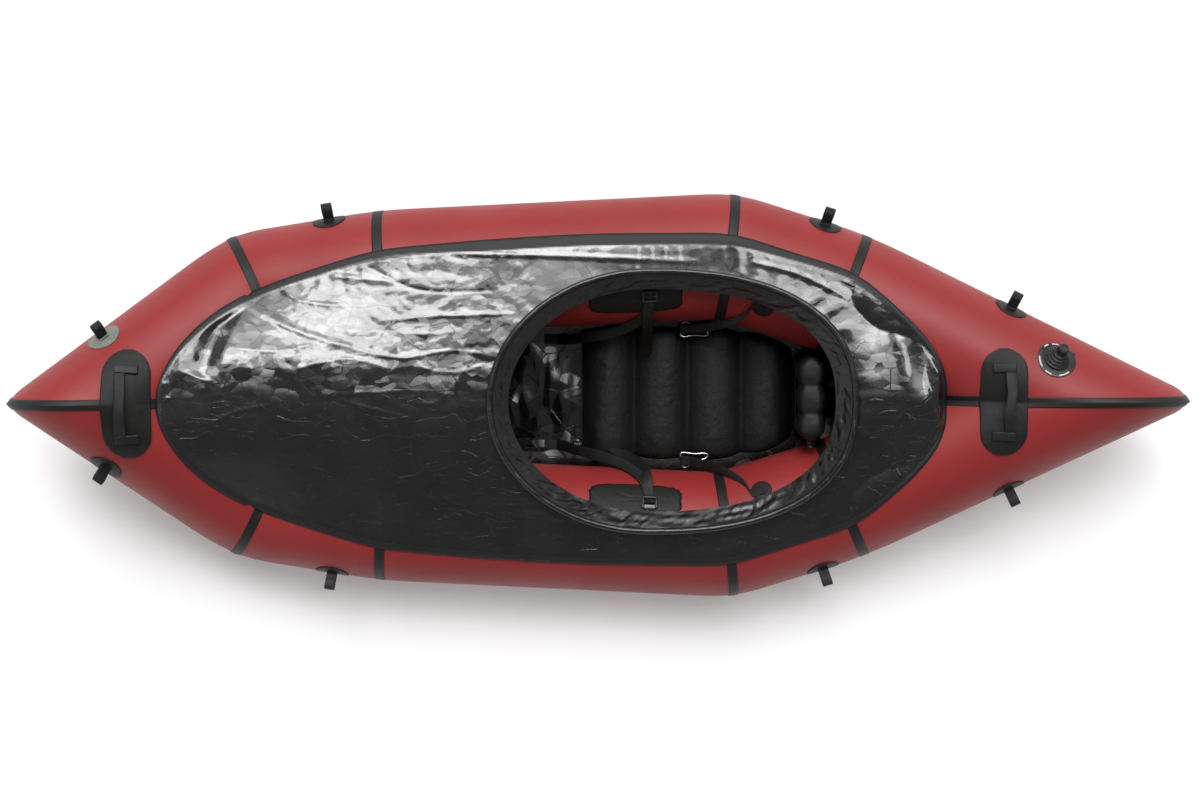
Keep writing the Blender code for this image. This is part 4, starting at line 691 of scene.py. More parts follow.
FINISHES = (
    Finish(
        "red_tube_cloth", (0.325, 0.030, 0.030), (0.25, 0.022, 0.023), 0.45, specular=0.3, creases=0.0012,
        crease_size=0.09, tone_size=0.2, tone=0.5, scuffs=0.35, pattern="weave", pitch=0.0007,
        relief=0.00003, follows=Coordinates.SURFACE,
    ),
    Finish(
        "black_seam_tape", (0.010, 0.0095, 0.009), (0.018, 0.0165, 0.015), 0.5, specular=0.3,
        creases=0.0006, crease_size=0.03, scuffs=0.5,
    ),
    Finish(
        "gloss_floor_cloth", (0.004, 0.004, 0.004), (0.008, 0.008, 0.008), 0.2, spread=0.1, specular=0.5,
        coat=0.6, coat_roughness=0.06, coat_ior=1.7, creases=0.9, crease_size=0.08, crease_kind="foil",
    ),
    Finish(
        "gloss_deck_cloth", (0.005, 0.005, 0.006), (0.011, 0.011, 0.011), 0.26, spread=0.1, specular=0.45,
        coat=0.6, coat_roughness=0.09, coat_ior=1.8, creases=1.0, crease_size=0.046, crease_kind="foil",
        crease_band="crush", tone=0.5, scuffs=0.3, matt_band="weld", pale_band="rim",
    ),
    Finish(
        "black_sleeve_cloth", (0.007, 0.007, 0.0068), (0.014, 0.014, 0.013), 0.38, specular=0.3, coat=0.45,
        coat_roughness=0.15, coat_ior=1.6, creases=0.8, crease_size=0.035, crease_kind="foil",
    ),
    Finish("hoop_alloy", (0.25, 0.25, 0.26), (0.16, 0.16, 0.17), 0.32, metallic=0.9, tone_size=0.02),
    Finish("ferrule_steel", (0.55, 0.55, 0.56), (0.4, 0.4, 0.41), 0.25, metallic=1.0, tone_size=0.01),
    Finish(
        "black_seat_cloth", (0.007, 0.007, 0.007), (0.013, 0.013, 0.013), 0.5, specular=0.3, pattern="weave",
        pitch=0.0011, relief=0.0001, creases=0.0022, crease_size=0.03,
    ),
    Finish(
        "grey_patch_cloth", (0.010, 0.0098, 0.0092), (0.019, 0.0185, 0.0175), 0.5, specular=0.28,
        pattern="weave", pitch=0.0009, relief=0.0001, creases=0.0008, crease_size=0.02, tone_size=0.05,
        scuffs=0.5,
    ),
    Finish(
        "black_webbing", (0.008, 0.008, 0.008), (0.018, 0.018, 0.017), 0.5, specular=0.35, pattern="ribs",
        pitch=0.0022, relief=0.0003, follows=Coordinates.SURFACE, tone_size=0.03,
    ),
    Finish(
        "pale_webbing", (0.26, 0.26, 0.255), (0.16, 0.16, 0.155), 0.6, pattern="ribs",
        pitch=0.0022, relief=0.0004, follows=Coordinates.SURFACE, tone_size=0.03,
    ),
    Finish(
        "worn_green_cloth", (0.23, 0.25, 0.22), (0.13, 0.14, 0.12), 0.65, pattern="weave",
        pitch=0.001, relief=0.00015, tone_size=0.03, tone=0.6, scuffs=0.6,
    ),
    Finish("black_rubber", (0.008, 0.008, 0.008), (0.016, 0.016, 0.015), 0.4, tone_size=0.02, creases=0.0002,
           crease_size=0.006),
    Finish("pale_print", (0.70, 0.70, 0.69), (0.45, 0.45, 0.44), 0.5, tone_size=0.01, scuffs=0.6),
    Finish("buckle_nylon", (0.010, 0.010, 0.010), (0.022, 0.022, 0.021), 0.35, tone_size=0.02, creases=0.0002,
           crease_size=0.005),
    Finish("bright_wire", (0.62, 0.62, 0.62), (0.42, 0.41, 0.40), 0.22, metallic=1.0, tone_size=0.01),
)


def build_finishes() -> None:
    """Make every finish once, with the node groups that they share."""
    makers = {"weave": weave_group, "crumple": crumple_group, "foil": foil_group, "wear": wear_group, "ribs": rib_group}
    groups = {name: make() for name, make in makers.items()}
    for finish in FINISHES:
        finish.build(groups)


# ---- The hull's shape

PANELS = ("bow", "fore", "mid", "aft", "stern")
WELD_EDGE = (
    (0, 0.0, -27), (0, 0.17, -17), (0, 0.34, -8), (0, 0.54, 1), (0, 0.77, 4),
    (1, 0.0, 3.5), (1, 0.33, 10), (1, 0.67, 16),
    (2, 0.0, 21), (2, 0.125, 23), (2, 0.25, 25), (2, 0.375, 26), (2, 0.5, 26.5),
    (2, 0.625, 26), (2, 0.75, 24.5), (2, 0.875, 22.5),
    (3, 0.0, 20), (3, 0.33, 20), (3, 0.67, 20),
    (4, 0.0, 19.5), (4, 0.13, 12), (4, 0.28, 3), (4, 0.49, -11), (4, 0.74, -31), (4, 1.0, -52),
)


@dataclass
class HullShape:
    """The centreline of one mitred air tube, and the points on its wall."""

    runs_ahead: tuple[float, ...] = (0.301, 0.3085, 0.8035, 0.277, 0.4845)
    spreads: tuple[float, ...] = (0.0, 0.242, 0.292, 0.331, 0.2435, 0.0)
    bow_rise: float = 0.153
    stern_rise: float = 0.083
    facets: int = 20
    nose_start: float = 0.85
    bow_keep: float = 0.6
    stern_keep: float = 0.31
    shoulder: float = 0.030
    centres: list[Vector] = field(default_factory=list)
    runs: list[Vector] = field(default_factory=list)
    planes: list[Vector] = field(default_factory=list)

    def __post_init__(self) -> None:
        """Set out the seams, and centre the raft's footprint on the origin."""
        height = TUBE_RADIUS + FLOOR_THICKNESS + TAPE_THICKNESS + 2 * GAP
        heights = [height + self.bow_rise, *[height] * 4, height + self.stern_rise]
        stations = np.concatenate([[0.0], np.cumsum(self.runs_ahead)])
        self.centres = [Vector(place) for place in zip(stations, self.spreads, heights)]
        self.runs = [(b - a).normalized() for a, b in zip(self.centres, self.centres[1:])]
        middle = Vector((0, 1, 0))
        bisectors = [(a + b).normalized() for a, b in zip(self.runs, self.runs[1:])]
        self.planes = [middle, *bisectors, middle]
        angles = [TURN * k / self.facets for k in range(self.facets)]
        self.aheads = {0: self.most_ahead(0, angles), -1: self.most_ahead(-1, angles)}
        lift = GAP + TAPE_THICKNESS
        bow = min(self.nose(angle, lift, 0).x for angle in angles)
        stern = max(self.nose(angle, lift, -1).x for angle in angles)
        self.centres = [centre - Vector(((bow + stern) / 2, 0, 0)) for centre in self.centres]

    def frame(self, panel: int) -> tuple[Vector, Vector]:
        """Return the outboard and the upward direction square to a panel."""
        outboard = Vector((-self.runs[panel].y, self.runs[panel].x, 0)).normalized()
        return outboard, self.runs[panel].cross(outboard).normalized()

    def hit(self, point: Vector, panel: int, station: int) -> Vector:
        """Slide a point along a panel to the seam plane of a station."""
        run, normal = self.runs[panel], self.planes[station]
        return point + run * ((self.centres[station] - point).dot(normal) / run.dot(normal))

    def mark(self, angle: float, lift: float, station: int) -> Vector:
        """Return where a line of the tube's wall meets a seam.

        Args:
            angle: The line's place round the tube, 0 outboard and a quarter turn on top.
            lift: How far it lies off the wall.
            station: The seam, 0 at the bow.

        Returns:
            The point, on a sharp mitre.
        """
        outboard, up = self.frame(2)
        start = self.centres[2] + (outboard * cos(angle) + up * sin(angle)) * (TUBE_RADIUS + lift)
        station %= 6
        point = self.hit(start, 2, 2 if station < 3 else 3)
        for panel in range(1, station - 1, -1) if station < 2 else range(3, station):
            point = self.hit(point, panel, panel if station < 2 else panel + 1)
        return point

    def most_ahead(self, station: int, angles: Sequence[float]) -> float:
        """Return how far the sharp end of a mitre would reach."""
        outward = -1 if station == 0 else 1
        return max((self.mark(a, 0.0, station).x - self.centres[station].x) * outward for a in angles)

    def nose(self, angle: float, lift: float, station: int) -> Vector:
        """Return a point of the blunt end of a mitre."""
        outward, keep = (-1, self.bow_keep) if station == 0 else (1, self.stern_keep)
        ahead = (self.mark(angle, 0.0, station).x - self.centres[station].x) * outward
        past = max(ahead - self.aheads[station] * self.nose_start, 0.0) * (1 - keep)
        return self.mark(angle, lift, station) - Vector((past * outward, 0, 0))

    def tube(self, panel: int, angle: float, share: float, lift: float) -> Vector:
        """Return a point of a panel's wall, with its blunt end where it has one."""
        first, second = self.mark(angle, lift, panel), self.mark(angle, lift, panel + 1)
        point = first.lerp(second, share)
        for station, at in ((0, 0), (-1, 4)):
            if panel == at:
                near = max(1 - point.y / self.shoulder, 0.0) ** 1.5
                point += (self.nose(angle, lift, station) - self.mark(angle, lift, station)) * near
        return point

    def wall_point(self, panel: int, share: float, lean: float, lift: float) -> Vector:
        """Return a point between two seams; lean turns outboard from the tube's top."""
        outboard, up = self.frame(panel)
        radial = outboard * sin(lean) + up * cos(lean)
        point = self.centres[panel] + radial * (TUBE_RADIUS + lift)
        return self.hit(point, panel, panel).lerp(self.hit(point, panel, panel + 1), share)

    def wall_frame(self, panel: int, station: float, lean: float, lift: float, side: Side) -> Matrix:
        """Return a frame on the wall: X along the tube, Y to its top, Z out of it."""
        outboard, up = self.frame(panel)
        radial = outboard * sin(lean) + up * cos(lean)
        run = self.runs[panel]
        distance = (station - self.centres[panel].x) / run.x
        point = self.centres[panel] + run * distance + radial * (TUBE_RADIUS + lift)
        return side.mirror @ Matrix.Translation(point) @ axes(run, radial)

    def top_height(self, panel: int, x: Array, y: Array, lift: float) -> Array:
        """Return the height of a panel's wall above points of the plan, low where there is none."""
        run, centre = self.runs[panel], self.centres[panel]
        along = (x - centre.x) * run.x + (y - centre.y) * run.y - centre.z * run.z
        flat = [x - centre.x - run.x * along, y - centre.y - run.y * along, -centre.z - run.z * along]
        rising = Vector((0, 0, 1)) - run * run.z
        a = rising.dot(rising)
        b = sum(part * step for part, step in zip(flat, rising))
        c = sum(part * part for part in flat) - (TUBE_RADIUS + lift) ** 2
        under = b * b - a * c
        return np.where(under > 0, (-b + np.sqrt(np.maximum(under, 0.0))) / a, -1.0)

    def tops(self, x: Array, y: Array, lift: float) -> Array:
        """Return the height of the tubes' tops, taking each panel between its own seams."""
        across = np.abs(y)
        found = np.full(np.shape(x), -1.0)
        for panel in range(len(self.runs)):
            inside = np.ones(np.shape(x), bool)
            for station, sign in ((panel, 1.0), (panel + 1, -1.0)):
                normal, centre = self.planes[station], self.centres[station]
                if 0 < station < len(self.runs):
                    beyond = (x - centre.x) * normal.x + (across - centre.y) * normal.y
                    inside &= beyond * sign >= 0
            height = self.top_height(panel, x, across, lift)
            found = np.where(inside, np.maximum(found, height), found)
        return found

    def weld_line(self, lift: float) -> Array:
        """Return the deck's weld on starboard, from bow to stern, as a smooth row of points."""
        marks = [self.wall_point(panel, share, radians(lean), lift) for panel, share, lean in WELD_EDGE]
        marks[0].y = marks[-1].y = 0.0
        line = np.array(smooth_path(marks, 8))[:, :2]
        run = np.concatenate([[0.0], np.cumsum(np.hypot(*np.diff(line, axis=0).T))])
        even = np.linspace(0.0, run[-1], int(run[-1] / 0.006))
        line = np.array([np.interp(even, run, line[:, k]) for k in (0, 1)]).T
        flip, reach = (1, -1), 24
        padded = np.concatenate([line[reach:0:-1] * flip, line, line[-2 : -reach - 2 : -1] * flip])
        weights = np.exp(-((np.arange(-reach, reach + 1) / 7.0) ** 2) / 2)
        weights /= weights.sum()
        x, y = (np.convolve(padded[:, k], weights, mode="valid") for k in (0, 1))
        return np.array([x, y, self.tops(x, y, lift)]).T


@dataclass
class AirTubes:
    """The ten red panels that hold the air, and the tapes over their seams."""

    hull: HullShape
    girth: int = 96
    step: float = 0.011
    dip: float = 0.0011
    dip_reach: float = 0.016
    pucker: float = 0.0007
    gathers: int = 34
    round_reach: float = 0.040

    def corner(self, seam: int, angle: float) -> float:
        """Return how far a mitre's outer corner is drawn in at its sharpest."""
        if not 0 < seam < len(self.hull.runs):
            return 0.0
        bend = self.hull.runs[seam - 1].angle(self.hull.runs[seam])
        return 0.5 * self.round_reach * tan(bend / 2) * abs(cos(angle)) ** 1.5

    def lift(self, angle: float, distance: float, side: Side, corner: float = 0.0) -> float:
        """Return how far the wall stands off its round shape near a seam.

        Args:
            angle: The place round the tube.
            distance: How far the seam is.
            side: The side of the raft.
            corner: How far the mitre's corner is drawn in.

        Returns:
            The lift, which is never outwards.
        """
        near = exp(-((distance / self.dip_reach) ** 2))
        wave = 0.5 + 0.5 * sin(self.gathers * angle + side.value + 2.5 * sin(5 * angle))
        reach = exp(-((distance / (2.2 * self.dip_reach)) ** 2)) - 0.6 * near
        drawn = corner * exp(-((distance / self.round_reach) ** 2) * 1.2)
        drawn *= 1.0 if cos(angle) > 0 else -0.35
        return -(self.dip * near + self.pucker * wave * max(reach, 0.0) + drawn)

    def build(self) -> None:
        """Make the panels and the tapes."""
        for side in Side:
            for panel, place_name in enumerate(PANELS):
                self.build_panel(side, panel, place_name)
            for seam in range(1, len(self.hull.runs)):
                self.build_tape(side, seam)
        for name, station in (("bow", 0), ("stern", -1)):
            self.build_end_tape(name, station)

    def build_panel(self, side: Side, panel: int, place_name: str) -> None:
        """Make one panel, open at its seams as the solids are."""
        length = (self.hull.centres[panel + 1] - self.hull.centres[panel]).length
        rows = max(int(length / self.step), 12)
        trim = GAP / 2 / length

        def place(u: float, v: float) -> Vector:
            """Return a point of the wall, drawn in beside its seams."""
            angle = TURN * u
            share = trim + v * (1 - 2 * trim)
            near = min((share * length, panel), ((1 - share) * length, panel + 1))
            lift = self.lift(angle, near[0], side, self.corner(near[1], angle))
            return side.flip(self.hull.tube(panel, angle, share, lift))

        bm = surface(self.girth, rows, place, (TURN * TUBE_RADIUS, length))
        middle = side.flip((self.hull.centres[panel] + self.hull.centres[panel + 1]) / 2)
        self.face_out(bm, middle, side.flip(self.hull.runs[panel]))
        name = f"tube_panel_{place_name}_{side.label}"
        publish(f"{name}_cloth", bm, "red_tube_cloth", replaces=[name], wall=Wall(SKIN, -1.0))

    def face_out(self, bm: Mesh, middle: Vector, run: Vector) -> None:
        """Turn a tube's faces away from its centreline."""
        bm.normal_update()
        outward = 0.0
        for face in bm.faces:
            arm = face.calc_center_median() - middle
            outward += face.normal.dot(arm - run * arm.dot(run))
        if outward < 0:
            bmesh.ops.reverse_faces(bm, faces=bm.faces)

    def build_tape(self, side: Side, seam: int) -> None:
        """Make the tape round one seam."""
        before, after = self.hull.runs[seam - 1], self.hull.runs[seam]

        def place(u: float, v: float) -> Vector:
            """Return a point of the tape, on the wall that it covers."""
            angle = TURN * u
            slide = (v - 0.5) * TAPE_WIDTH
            lift = GAP + self.lift(angle, abs(slide), side, self.corner(seam, angle))
            wall = self.hull.mark(angle, lift, seam)
            return side.flip(wall + (before if slide < 0 else after) * slide)

        bm = surface(self.girth, 6, place, (TURN * TUBE_RADIUS, TAPE_WIDTH))
        self.face_out(bm, side.flip(self.hull.centres[seam]), side.flip((before + after).normalized()))
        name = f"seam_tape_{seam}_{side.label}"
        publish(f"{name}_cloth", bm, "black_seam_tape", replaces=[name], wall=Wall(TAPE_THICKNESS))

    def build_end_tape(self, name: str, station: int) -> None:
        """Make the tape over the mitre where the two tubes meet."""
        panel = 0 if station == 0 else 4

        def place(u: float, v: float) -> Vector:
            """Return a point of the tape, on either side of the centreline."""
            angle = TURN * u
            across = (v - 0.5) * TAPE_WIDTH
            sharp = self.hull.mark(angle, GAP, station)
            run = self.hull.runs[panel]
            near = max(1 - abs(across) / self.hull.shoulder, 0.0) ** 1.5
            point = sharp + run * (abs(across) / run.y)
            point += (self.hull.nose(angle, GAP, station) - sharp) * near
            return Vector((point.x, across, point.z))

        bm = surface(self.girth, 8, place, (TURN * TUBE_RADIUS, TAPE_WIDTH))
        self.face_out(bm, self.hull.centres[station], Vector((0, 1, 0)))
        publish(
            f"centreline_tape_{name}_cloth", bm, "black_seam_tape",
            replaces=[f"centreline_tape_{name}"], wall=Wall(TAPE_THICKNESS),
        )


@dataclass
class RaftFloor:
    """The flat floor, which swells in front of the seat, and its two rockers."""

    hull: HullShape
    lap: float = 0.012
    swell: float = 0.007
    cell: float = 0.008

    def edge(self, x: float) -> float:
        """Return the floor's half width at a place along the raft."""
        marks = self.hull.centres
        return float(np.interp(x, [p.x for p in marks], [p.y for p in marks])) + self.lap

    def ends(self, outward: int) -> tuple[Vector, Vector]:
        """Return the tubes' centres over a rocker's start and its tip."""
        near, far = (1, 0) if outward < 0 else (-2, -1)
        return self.hull.centres[near], self.hull.centres[far]

    def crease(self, outward: int) -> tuple[float, float]:
        """Return where an end floor starts, and its slope, under the rising tubes."""
        near, far = self.ends(outward)
        slope = (far.z - near.z) / abs(far.x - near.x)
        return near.x + outward * KEEL_DROP * tan(atan(slope) / 2), slope

    def lift(self, x: float, y: float) -> float:
        """Return the height of the floor's swells and wrinkles."""
        free = smoothstep((x + 0.44) / 0.12) * smoothstep((-0.062 - x) / 0.03)
        free += 0.45 * smoothstep((-0.40 - x) / 0.1)
        inside = smoothstep((self.edge(x) - 0.055 - abs(y)) / 0.08)
        waves = bumps(x * 16, y * 7, 0.4) + 0.6 * abs(bumps(x * 34, y * 15, 2.0))
        return self.swell * min(free, 1.0) * inside * max(0.35 + waves, 0.0)

    def build(self) -> None:
        """Make the main floor and the two rockers."""
        bow, stern, slit = self.crease(-1)[0], self.crease(1)[0], GAP / 2
        self.build_sheet("floor_main", bow + slit, stern - slit, 0)
        for name, outward, start in (("bow", -1, bow - slit), ("stern", 1, stern + slit)):
            self.build_sheet(f"floor_{name}_rocker", start, self.tip(outward), outward)

    def tip(self, outward: int) -> float:
        """Return where a rocker ends."""
        return self.ends(outward)[1].x + self.shift(outward)

    def shift(self, outward: int) -> float:
        """Return how far past the tubes' centres a tilted floor's edge lies."""
        return outward * KEEL_DROP * sin(atan(self.crease(outward)[1]))

    def build_sheet(self, name: str, start: float, end: float, outward: int) -> None:
        """Make one sheet of the floor."""
        crease, slope = self.crease(outward) if outward else (0.0, 0.0)
        near, far = self.ends(outward)

        def half(x: float) -> float:
            """Return the sheet's half width."""
            if not outward:
                return self.edge(x)
            share = min(max((x - near.x - self.shift(outward)) / (far.x - near.x), 0.0), 1.0)
            return near.y * (1 - share) + self.lap

        def place(u: float, v: float) -> Vector:
            """Return a point of the floor's top."""
            x = start + (end - start) * v
            y = half(x) * (2 * u - 1)
            if outward:
                return Vector((x, y, FLOOR_THICKNESS + abs(x - crease) * slope))
            return Vector((x, y, FLOOR_THICKNESS + self.lift(x, y)))

        length = abs(end - start) * sqrt(1 + slope * slope)
        wide = 2 * max(half(start), half(end), half((start + end) / 2), half(near.x) if not outward else 0)
        rows = max(int(length / self.cell), 8)
        bm = surface(max(int(wide / self.cell), 16), rows, place, (wide, length))
        area = sum(face.calc_area() for face in bm.faces)
        piece = publish(
            f"{name}_cloth", bm, "gloss_floor_cloth", replaces=[name],
            wall=Wall(FLOOR_THICKNESS, -1.0), outward=Vector((0, 0, 1)),
        )


# ---- The deck and the coaming


@dataclass
class CockpitRing:
    """The outline of the cockpit and of the coaming that stands round it."""

    hull: HullShape
    centre: float = 0.104
    half_width: float = 0.304
    front: float = 0.371
    rear: float = 0.4735
    roundness: float = 2.4
    band: float = 0.048
    side_rise: float = 0.0133
    front_rise: float = 0.036
    rear_rise: float = 0.010

    def point(self, angle: float, grow: float, rise: float) -> Vector:
        """Return a point of the outline; angle 0 is the stern end."""
        cosine, sine = cos(angle), sin(angle)
        rear = cosine > 0
        reach = (self.rear if rear else self.front) - self.band + grow
        power = 2 / (self.roundness if rear else 2)
        x = self.centre + signed_power(cosine, power) * reach
        y = signed_power(sine, power) * (self.half_width - self.band + grow)
        return Vector((x, y, self.height(np.array(cosine)) + rise))

    def height(self, cosine: Array) -> Array:
        """Return the outline's height for the cosine of a place's angle."""
        end = np.where(cosine > 0, self.rear_rise, self.front_rise)
        return self.hull.centres[2].z + TUBE_RADIUS + self.side_rise + end * cosine * cosine

    def inside(self, x: Array, y: Array) -> tuple[Array, Array]:
        """Return how far out points lie, 1 on the outline, and the cosine of their angle."""
        along = (x - self.centre) / (np.where(x > self.centre, self.rear, self.front) - self.band)
        across = np.abs(y) / (self.half_width - self.band)
        power = np.where(x > self.centre, self.roundness, 2.0)
        out = (np.abs(along) ** power + across ** power) ** (1 / power)
        held = np.maximum(out, 1e-6)
        cosine = np.sign(along) * np.abs(np.clip(along / held, -1, 1)) ** (power / 2)
        return out, cosine


def seen(*pixels: tuple[float, float]) -> list[Vector]:
    """Return the plan points of places seen in a 1200 by 800 picture, at the deck's height."""
    return [Vector(((x - 600) * PIXEL - 0.01, (400 - y) * PIXEL + 0.0017, 0.0)) for x, y in pixels]


# Half width and height in millimetres, whether the crest is sharp, and the line's places in a 1200 by 800 picture
DECK_FOLDS = (
    (6, 1.6, True, (380, 321), (440, 316), (518, 314)),
    (5, 1, True, (405, 334), (430, 334), (455, 332)),
    (6, 1.3, True, (360, 350), (405, 357), (450, 350), (490, 355)),
    (6, 1.3, True, (300, 368), (350, 358), (395, 369)),
    (5, 1.2, True, (420, 366), (455, 372), (492, 362)),
    (6, 1.2, True, (403, 397), (440, 400), (478, 352)),
    (4, 1.4, True, (331, 394), (390, 390), (445, 391)),
    (4, 1.2, True, (331, 394), (375, 408), (412, 417)),
    (8, 1.8, False, (240, 300), (300, 330), (372, 352)),
    (6, 1.1, True, (228, 345), (280, 350), (322, 342)),
    (7, 1.4, True, (262, 272), (300, 300), (352, 306)),
    (7, 1.3, False, (300, 262), (340, 276), (400, 282)),
    (7, -1.3, True, (360, 262), (420, 290), (500, 290)),
    (27, -10, False, (240, 296), (220, 334), (205, 374)),
    (5, 1.3, True, (213, 423), (240, 410), (275, 402)),
    (5, 1.2, True, (315, 448), (335, 436), (355, 428)),
    (5, 1.2, True, (340, 465), (365, 464), (390, 463)),
    (6, 2, False, (478, 499), (512, 502), (548, 499)),
    (6, 2, False, (495, 510), (560, 519), (620, 522)),
    (6, 1.4, False, (395, 250), (480, 254), (580, 257), (700, 262)),
    (7, 2.2, False, (875, 435), (890, 427), (900, 415)),
    (12, 2, False, (880, 300), (898, 345), (905, 392)),
    (10, -1.6, True, (930, 330), (925, 372), (935, 410)),
    (7, 1.4, True, (905, 270), (935, 300), (960, 340)),
    (7, 1.2, True, (862, 455), (900, 470), (935, 462)),
    (4, 3, True, (158, 379), (165, 380), (176, 382)),
    (4, 2.6, True, (157, 387), (164, 388), (174, 389)),
    (4, 3, True, (157, 395), (166, 395), (180, 396)),
    (4, 2.6, True, (158, 404), (165, 403), (172, 402)),
    (6, 2, False, (888, 262), (908, 285), (922, 318)),
    (5, 1.8, False, (895, 285), (903, 310), (912, 335)),
    (5, 1.8, False, (915, 300), (930, 325), (940, 350)),
    (6, 1.6, False, (750, 262), (800, 275), (850, 300)),
    (5, 1.8, True, (770, 250), (810, 262), (845, 277)),
)


@dataclass
class SprayDeck:
    """The deck cloth, stretched from its weld on the tubes to the cockpit's edge."""

    hull: HullShape
    ring: CockpitRing
    cell: float = 0.0036
    lift: float = 0.0024
    thickness: float = 0.0010
    weld_width: float = 0.020
    settle: int = 260
    ridge_sag: float = 0.010
    crown: float = 8.5
    first_height: float = 0.30

    def weld_breadth(self, x: Array) -> Array:
        """Return the deck's half width along the raft, 0 past its ends."""
        line = self.hull.weld_line(self.lift)
        return np.interp(x, line[:, 0], line[:, 1], left=-0.01, right=-0.01)

    def domain(self, x: Array, y: Array) -> tuple[Array, Array]:
        """Return how far plan points lie inside the weld, and outside the cockpit, in metres."""
        line = self.hull.weld_line(self.lift)
        ends = line[0, 0], line[-1, 0]
        weld = np.minimum(self.weld_breadth(x) - np.abs(y), np.minimum(x - ends[0], ends[1] - x) * 1.5)
        out, _ = self.ring.inside(x, y)
        hole = (out - 1) * (self.ring.half_width - self.ring.band)
        return weld, hole

    def fixed(self, x: Array, y: Array) -> tuple[Array, Array]:
        """Return the height of the tubes under the deck, and the cockpit edge's height."""
        tops = self.hull.tops(x, y, self.lift)
        _, cosine = self.ring.inside(x, y)
        return tops, self.ring.height(cosine) - self.thickness

    def stretch(self, xs: Array, ys: Array) -> Array:
        """Settle the deck on a grid, as cloth held at its edges over the tubes.

        Args:
            xs: The grid's places along the raft.
            ys: The grid's places across.

        Returns:
            The height at each place, along first.
        """
        height = np.zeros((1, 1))
        for coarse in (8, 4, 2, 1):
            along = np.linspace(xs[0], xs[-1], (len(xs) - 1) // coarse + 1)
            across = np.linspace(ys[0], ys[-1], (len(ys) - 1) // coarse + 1)
            x, y = np.meshgrid(along, across, indexing="ij")
            weld, hole = self.domain(x, y)
            tops, edge = self.fixed(x, y)
            first = height.size == 1
            start = np.maximum(tops, self.first_height) if first else self.resample(height, x.shape)
            held_tube, held_hole = weld < 0, hole < 0
            tops = np.maximum(tops, self.ridge(x, y))
            height = np.where(held_tube, tops, np.where(held_hole, edge, start))
            free = ~(held_tube | held_hole)
            for _ in range(self.settle if coarse > 1 else self.settle // 3):
                mean = height.copy()
                mean[1:-1, 1:-1] = (height[:-2, 1:-1] + height[2:, 1:-1] + height[1:-1, :-2] + height[1:-1, 2:]) / 4
                height = np.where(free, np.maximum(mean, tops), height)
        return height

    def ridge(self, x: Array, y: Array) -> Array:
        """Return the height of the round taut ridge from the bow to the cockpit, low beside it."""
        start = self.hull.weld_line(self.lift)[0]
        end = self.ring.point(pi, 0.0, -self.thickness)
        share = np.clip((x - start[0]) / (end.x - start[0]), 0, 1)
        line = start[2] + (end.z - start[2]) * share - self.ridge_sag * np.sin(pi * share)
        rounded = line - self.crown * np.abs(y) ** 3 - 0.004 * np.exp(-share * 12)
        return np.where((x > start[0]) & (x < end.x), rounded, -1.0)

    def resample(self, height: Array, shape: tuple[int, int]) -> Array:
        """Return a grid of heights brought to a finer grid."""
        rows = np.linspace(0, height.shape[0] - 1, shape[0])
        columns = np.linspace(0, height.shape[1] - 1, shape[1])
        i, j = rows.astype(int), columns.astype(int)
        i2, j2 = np.minimum(i + 1, height.shape[0] - 1), np.minimum(j + 1, height.shape[1] - 1)
        a, b = (rows - i)[:, None], (columns - j)[None, :]
        top = height[np.ix_(i, j)] * (1 - b) + height[np.ix_(i, j2)] * b
        low = height[np.ix_(i2, j)] * (1 - b) + height[np.ix_(i2, j2)] * b
        return top * (1 - a) + low * a

    def folds(self, x: Array, y: Array) -> Array:
        """Return the height of the named folds at plan points."""
        lifted = np.zeros(len(x))
        for wide, tall, sharp, *pixels in DECK_FOLDS:
            path = np.array([p[:] for p in smooth_path(seen(*pixels), 6)])[:, :2]
            nearest = np.full(len(x), 9.0)
            along = np.zeros(len(x))
            spans = len(path) - 1
            for k in range(spans):
                start, way = path[k], path[k + 1] - path[k]
                t = np.clip(((x - start[0]) * way[0] + (y - start[1]) * way[1]) / (way @ way), 0, 1)
                distance = np.hypot(x - start[0] - way[0] * t, y - start[1] - way[1] * t)
                closer = distance < nearest
                nearest = np.where(closer, distance, nearest)
                along = np.where(closer, (k + t) / spans, along)
            away = nearest / (wide * MILLIMETRE)
            crest = np.exp(-1.6 * away if sharp else -away * away)
            lifted += tall * MILLIMETRE * crest * np.sqrt(np.clip(4.2 * along * (1 - along), 0, 1))
        return lifted

    def aft_form(self, x: Array, y: Array) -> Array:
        """Return how far the cloth aft of the cockpit stands over the centreline, and sags beside it."""
        lead, tail = np.clip((x - 0.53) / 0.09, 0, 1), np.clip((x - 0.66) / 0.08, 0, 1)
        crest = 0.015 * np.exp(-((y / 0.10) ** 2)) * lead * lead * (3 - 2 * lead)
        tip = 0.014 * np.exp(-((y / 0.055) ** 2)) * tail * tail * (3 - 2 * tail)
        sag = 0.014 * np.exp(-(((x - 0.645) / 0.075) ** 2) - (((np.abs(y) - 0.215) / 0.075) ** 2))
        return crest + tip - sag

